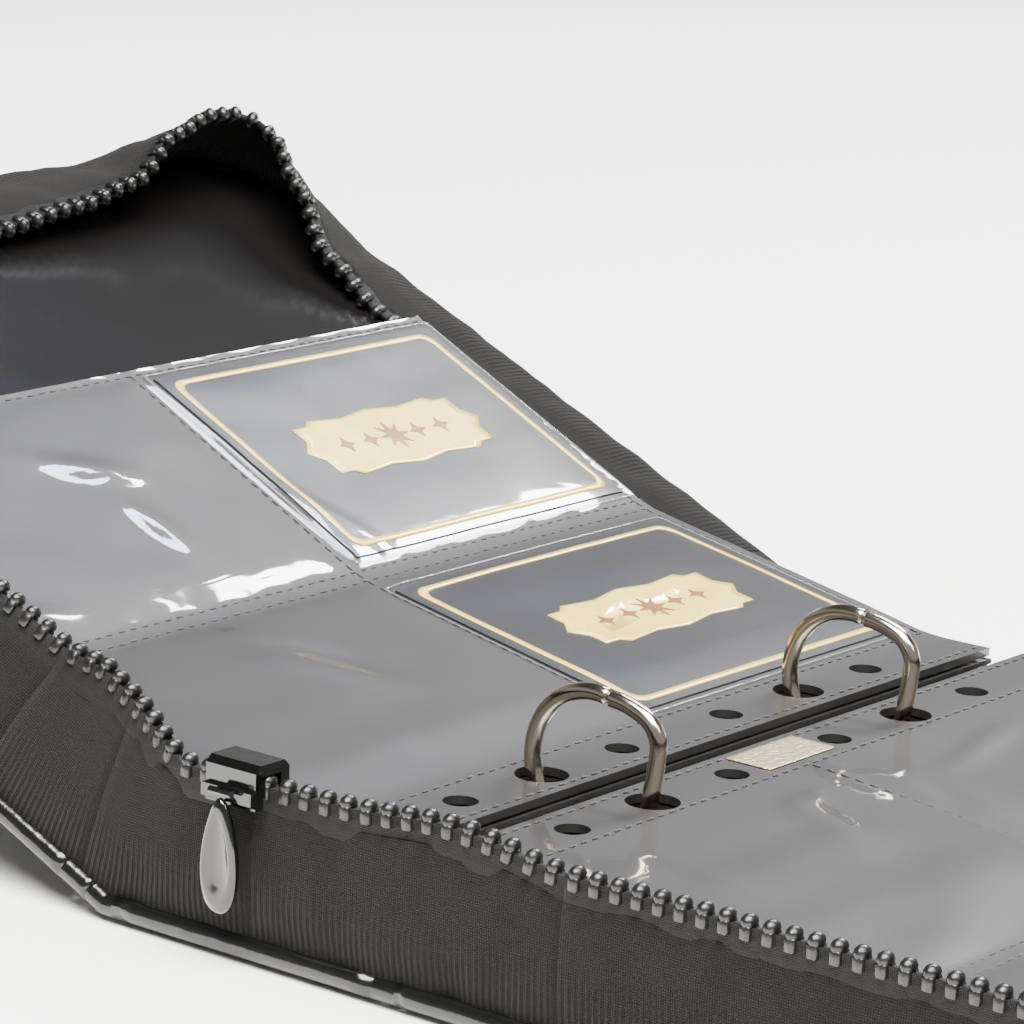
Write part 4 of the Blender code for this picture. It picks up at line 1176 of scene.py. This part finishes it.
def round_box(wide, tall, radius, steps=6):
    points = []
    corners = ((wide - radius, tall - radius, 0), (radius - wide, tall - radius, 90),
               (radius - wide, radius - tall, 180), (wide - radius, radius - tall, 270))
    for x, y, turn in corners:
        for k in range(steps + 1):
            t = math.radians(turn + 90 * k / steps)
            points.append((x + radius * math.cos(t), y + radius * math.sin(t)))
    return points


def subdivided(outline, step=3 * MM):
    points = []
    for (ax, ay), (bx, by) in zip(outline, outline[1:] + outline[:1]):
        pieces = max(1, int(math.dist((ax, ay), (bx, by)) / step))
        points += [(ax + (bx - ax) * k / pieces, ay + (by - ay) * k / pieces) for k in range(pieces)]
    return points


def printed_ring(name, at, height, middle, outer, inner, lift, finish_material):
    """A closed band between two matched outlines, a hair above the card."""
    work = bmesh.new()
    levels = []
    for outline, up in ((inner, lift), (outer, lift), (outer, lift - 0.12 * MM), (inner, lift - 0.12 * MM)):
        levels.append([work.verts.new(p) for p in flat_outline(at, height, outline, middle, up)])
    skin_rings(work, [*levels, levels[0]], closed_ends=False)
    return from_bmesh(name, work, finish_material)


def printed_shape(name, at, height, middle, outline, lift, finish_material):
    """A flat printed shape that follows the page, filled from its middle."""
    work = bmesh.new()
    shrink = [[(x * k / 12, y * k / 12) for x, y in outline] for k in range(12, 0, -1)]
    rings = [[work.verts.new(p) for p in flat_outline(at, height, shrink[0], middle, lift - 0.12 * MM)]]
    rings += [[work.verts.new(p) for p in flat_outline(at, height, ring, middle, lift)] for ring in shrink]
    skin_rings(work, rings, closed_ends=False)
    work.faces.new(rings[-1])
    work.faces.new(list(reversed(rings[0])))
    return from_bmesh(name, work, finish_material)


def star(points, outer, inner):
    shape = []
    for k in range(2 * points):
        radius = outer if k % 2 == 0 else inner
        t = math.pi * k / points
        shape.append((radius * math.cos(t), radius * math.sin(t)))
    return shape


def plaque_outline():
    """A long plaque with pointed ends and a notched middle, drawn along y."""
    quarter = [(0, 27.5), (3.2, 24.5), (7.6, 24.5), (7.6, 20.5), (9.2, 18.5), (8.2, 9), (9.6, 0)]
    right = quarter + [(x, -y) for x, y in reversed(quarter[:-1])]
    whole = right + [(-x, y) for x, y in reversed(right[1:-1])]
    return subdivided([(x * MM, y * MM) for x, y in whole], 1.5 * MM)


FRAME_HALF, FRAME_BAND = (28.9, 41.2), 1.5  # mm
SLEEVE_HALF, SLEEVE_BAND = (33.0, 45.3), 0.6
CARD_HALF = (31 * MM, 43.5 * MM)


def framed(half, radius, thin):
    """The outer and inner outlines of a thin band with rounded corners, sizes in mm."""
    outer = subdivided(round_box(half[0] * MM, half[1] * MM, radius * MM))
    return outer, [(x * (half[0] - thin) / half[0], y * (half[1] - thin) / half[1]) for x, y in outer]


for card_name, middle in (("inner_card", (41.4 * MM, 46.6 * MM)), ("outer_card", (116.6 * MM, 49.5 * MM))):
    made = page_sheet(f"{card_name}_print", left_at,
                      lambda u, y, m=middle: left_swell(u, y + m[1]) + 0.35 * MM, 0.1 * MM, card_ink,
                      1.8 * MM, (middle[0] - CARD_HALF[0], middle[0] + CARD_HALF[0]), False, CARD_HALF[1])
    made.data.transform(Matrix.Translation((0, middle[1], 0)))
    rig.replaces(made, card_name)
    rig.slot(made, "card")
    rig.ride(made, "left_top_page")
    laid = (left_at, left_swell, middle)
    pieces = [
        printed_ring(f"{card_name}_gold_frame", *laid, *framed(FRAME_HALF, 3.2, FRAME_BAND), 0.5 * MM,
                     gold_ink),
        printed_ring(f"{card_name}_sleeve_weld", *laid, *framed(SLEEVE_HALF, 1.2, SLEEVE_BAND), 0.42 * MM,
                     sleeve_film),
        printed_shape(f"{card_name}_plaque", *laid, plaque_outline(), 0.5 * MM, gold_ink),
    ]
    for k, along in enumerate((-15, -7.5, 0, 7.5, 15)):
        size, rays = (4.6, 8) if along == 0 else (2.6, 4)
        spot = (middle[0], middle[1] + along * MM)
        pieces.append(printed_shape(f"{card_name}_star_{k}", left_at, left_swell, spot,
                                    star(rays, size * MM, size * 0.42 * MM), 0.62 * MM, umber_ink))
    for piece in pieces:
        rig.slot(piece, "card")
        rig.ride(piece, "left_top_page")


# ---------------------------------------------------------------- foil patch
# A small pale gold foil patch, heat-pressed into the right page's strip, with a fine pressed texture.

foil, foil_tree, foil_shader = finish_of("pressed gold foil", "B9AE8C", 0.35, 0.6, Coat_Weight=0.8,
                                         Coat_Roughness=0.1)
foil_spot = add(foil_tree, "ShaderNodeTexCoord").outputs["Object"]
foil_cells = add(foil_tree, "ShaderNodeTexVoronoi", {"Vector": foil_spot, "Scale": 900.0})
bump_into(foil_tree, foil_shader, foil_cells.outputs["Distance"], 0.7, 0.0004)
foil_patch = printed_shape("foil_patch", right_at, right_swell, (-1.4 * MM, 1 * MM),
                           subdivided(round_box(5.0 * MM, 10.5 * MM, 0.8 * MM), 1.5 * MM), 0.25 * MM, foil)
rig.slot(foil_patch, "page")
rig.ride(foil_patch, "right_pages")


with open("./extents.json", "w") as size_file:
    json.dump({"cad": [list(c) for c in cad_box], "final": [list(c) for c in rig.bounds()]}, size_file)
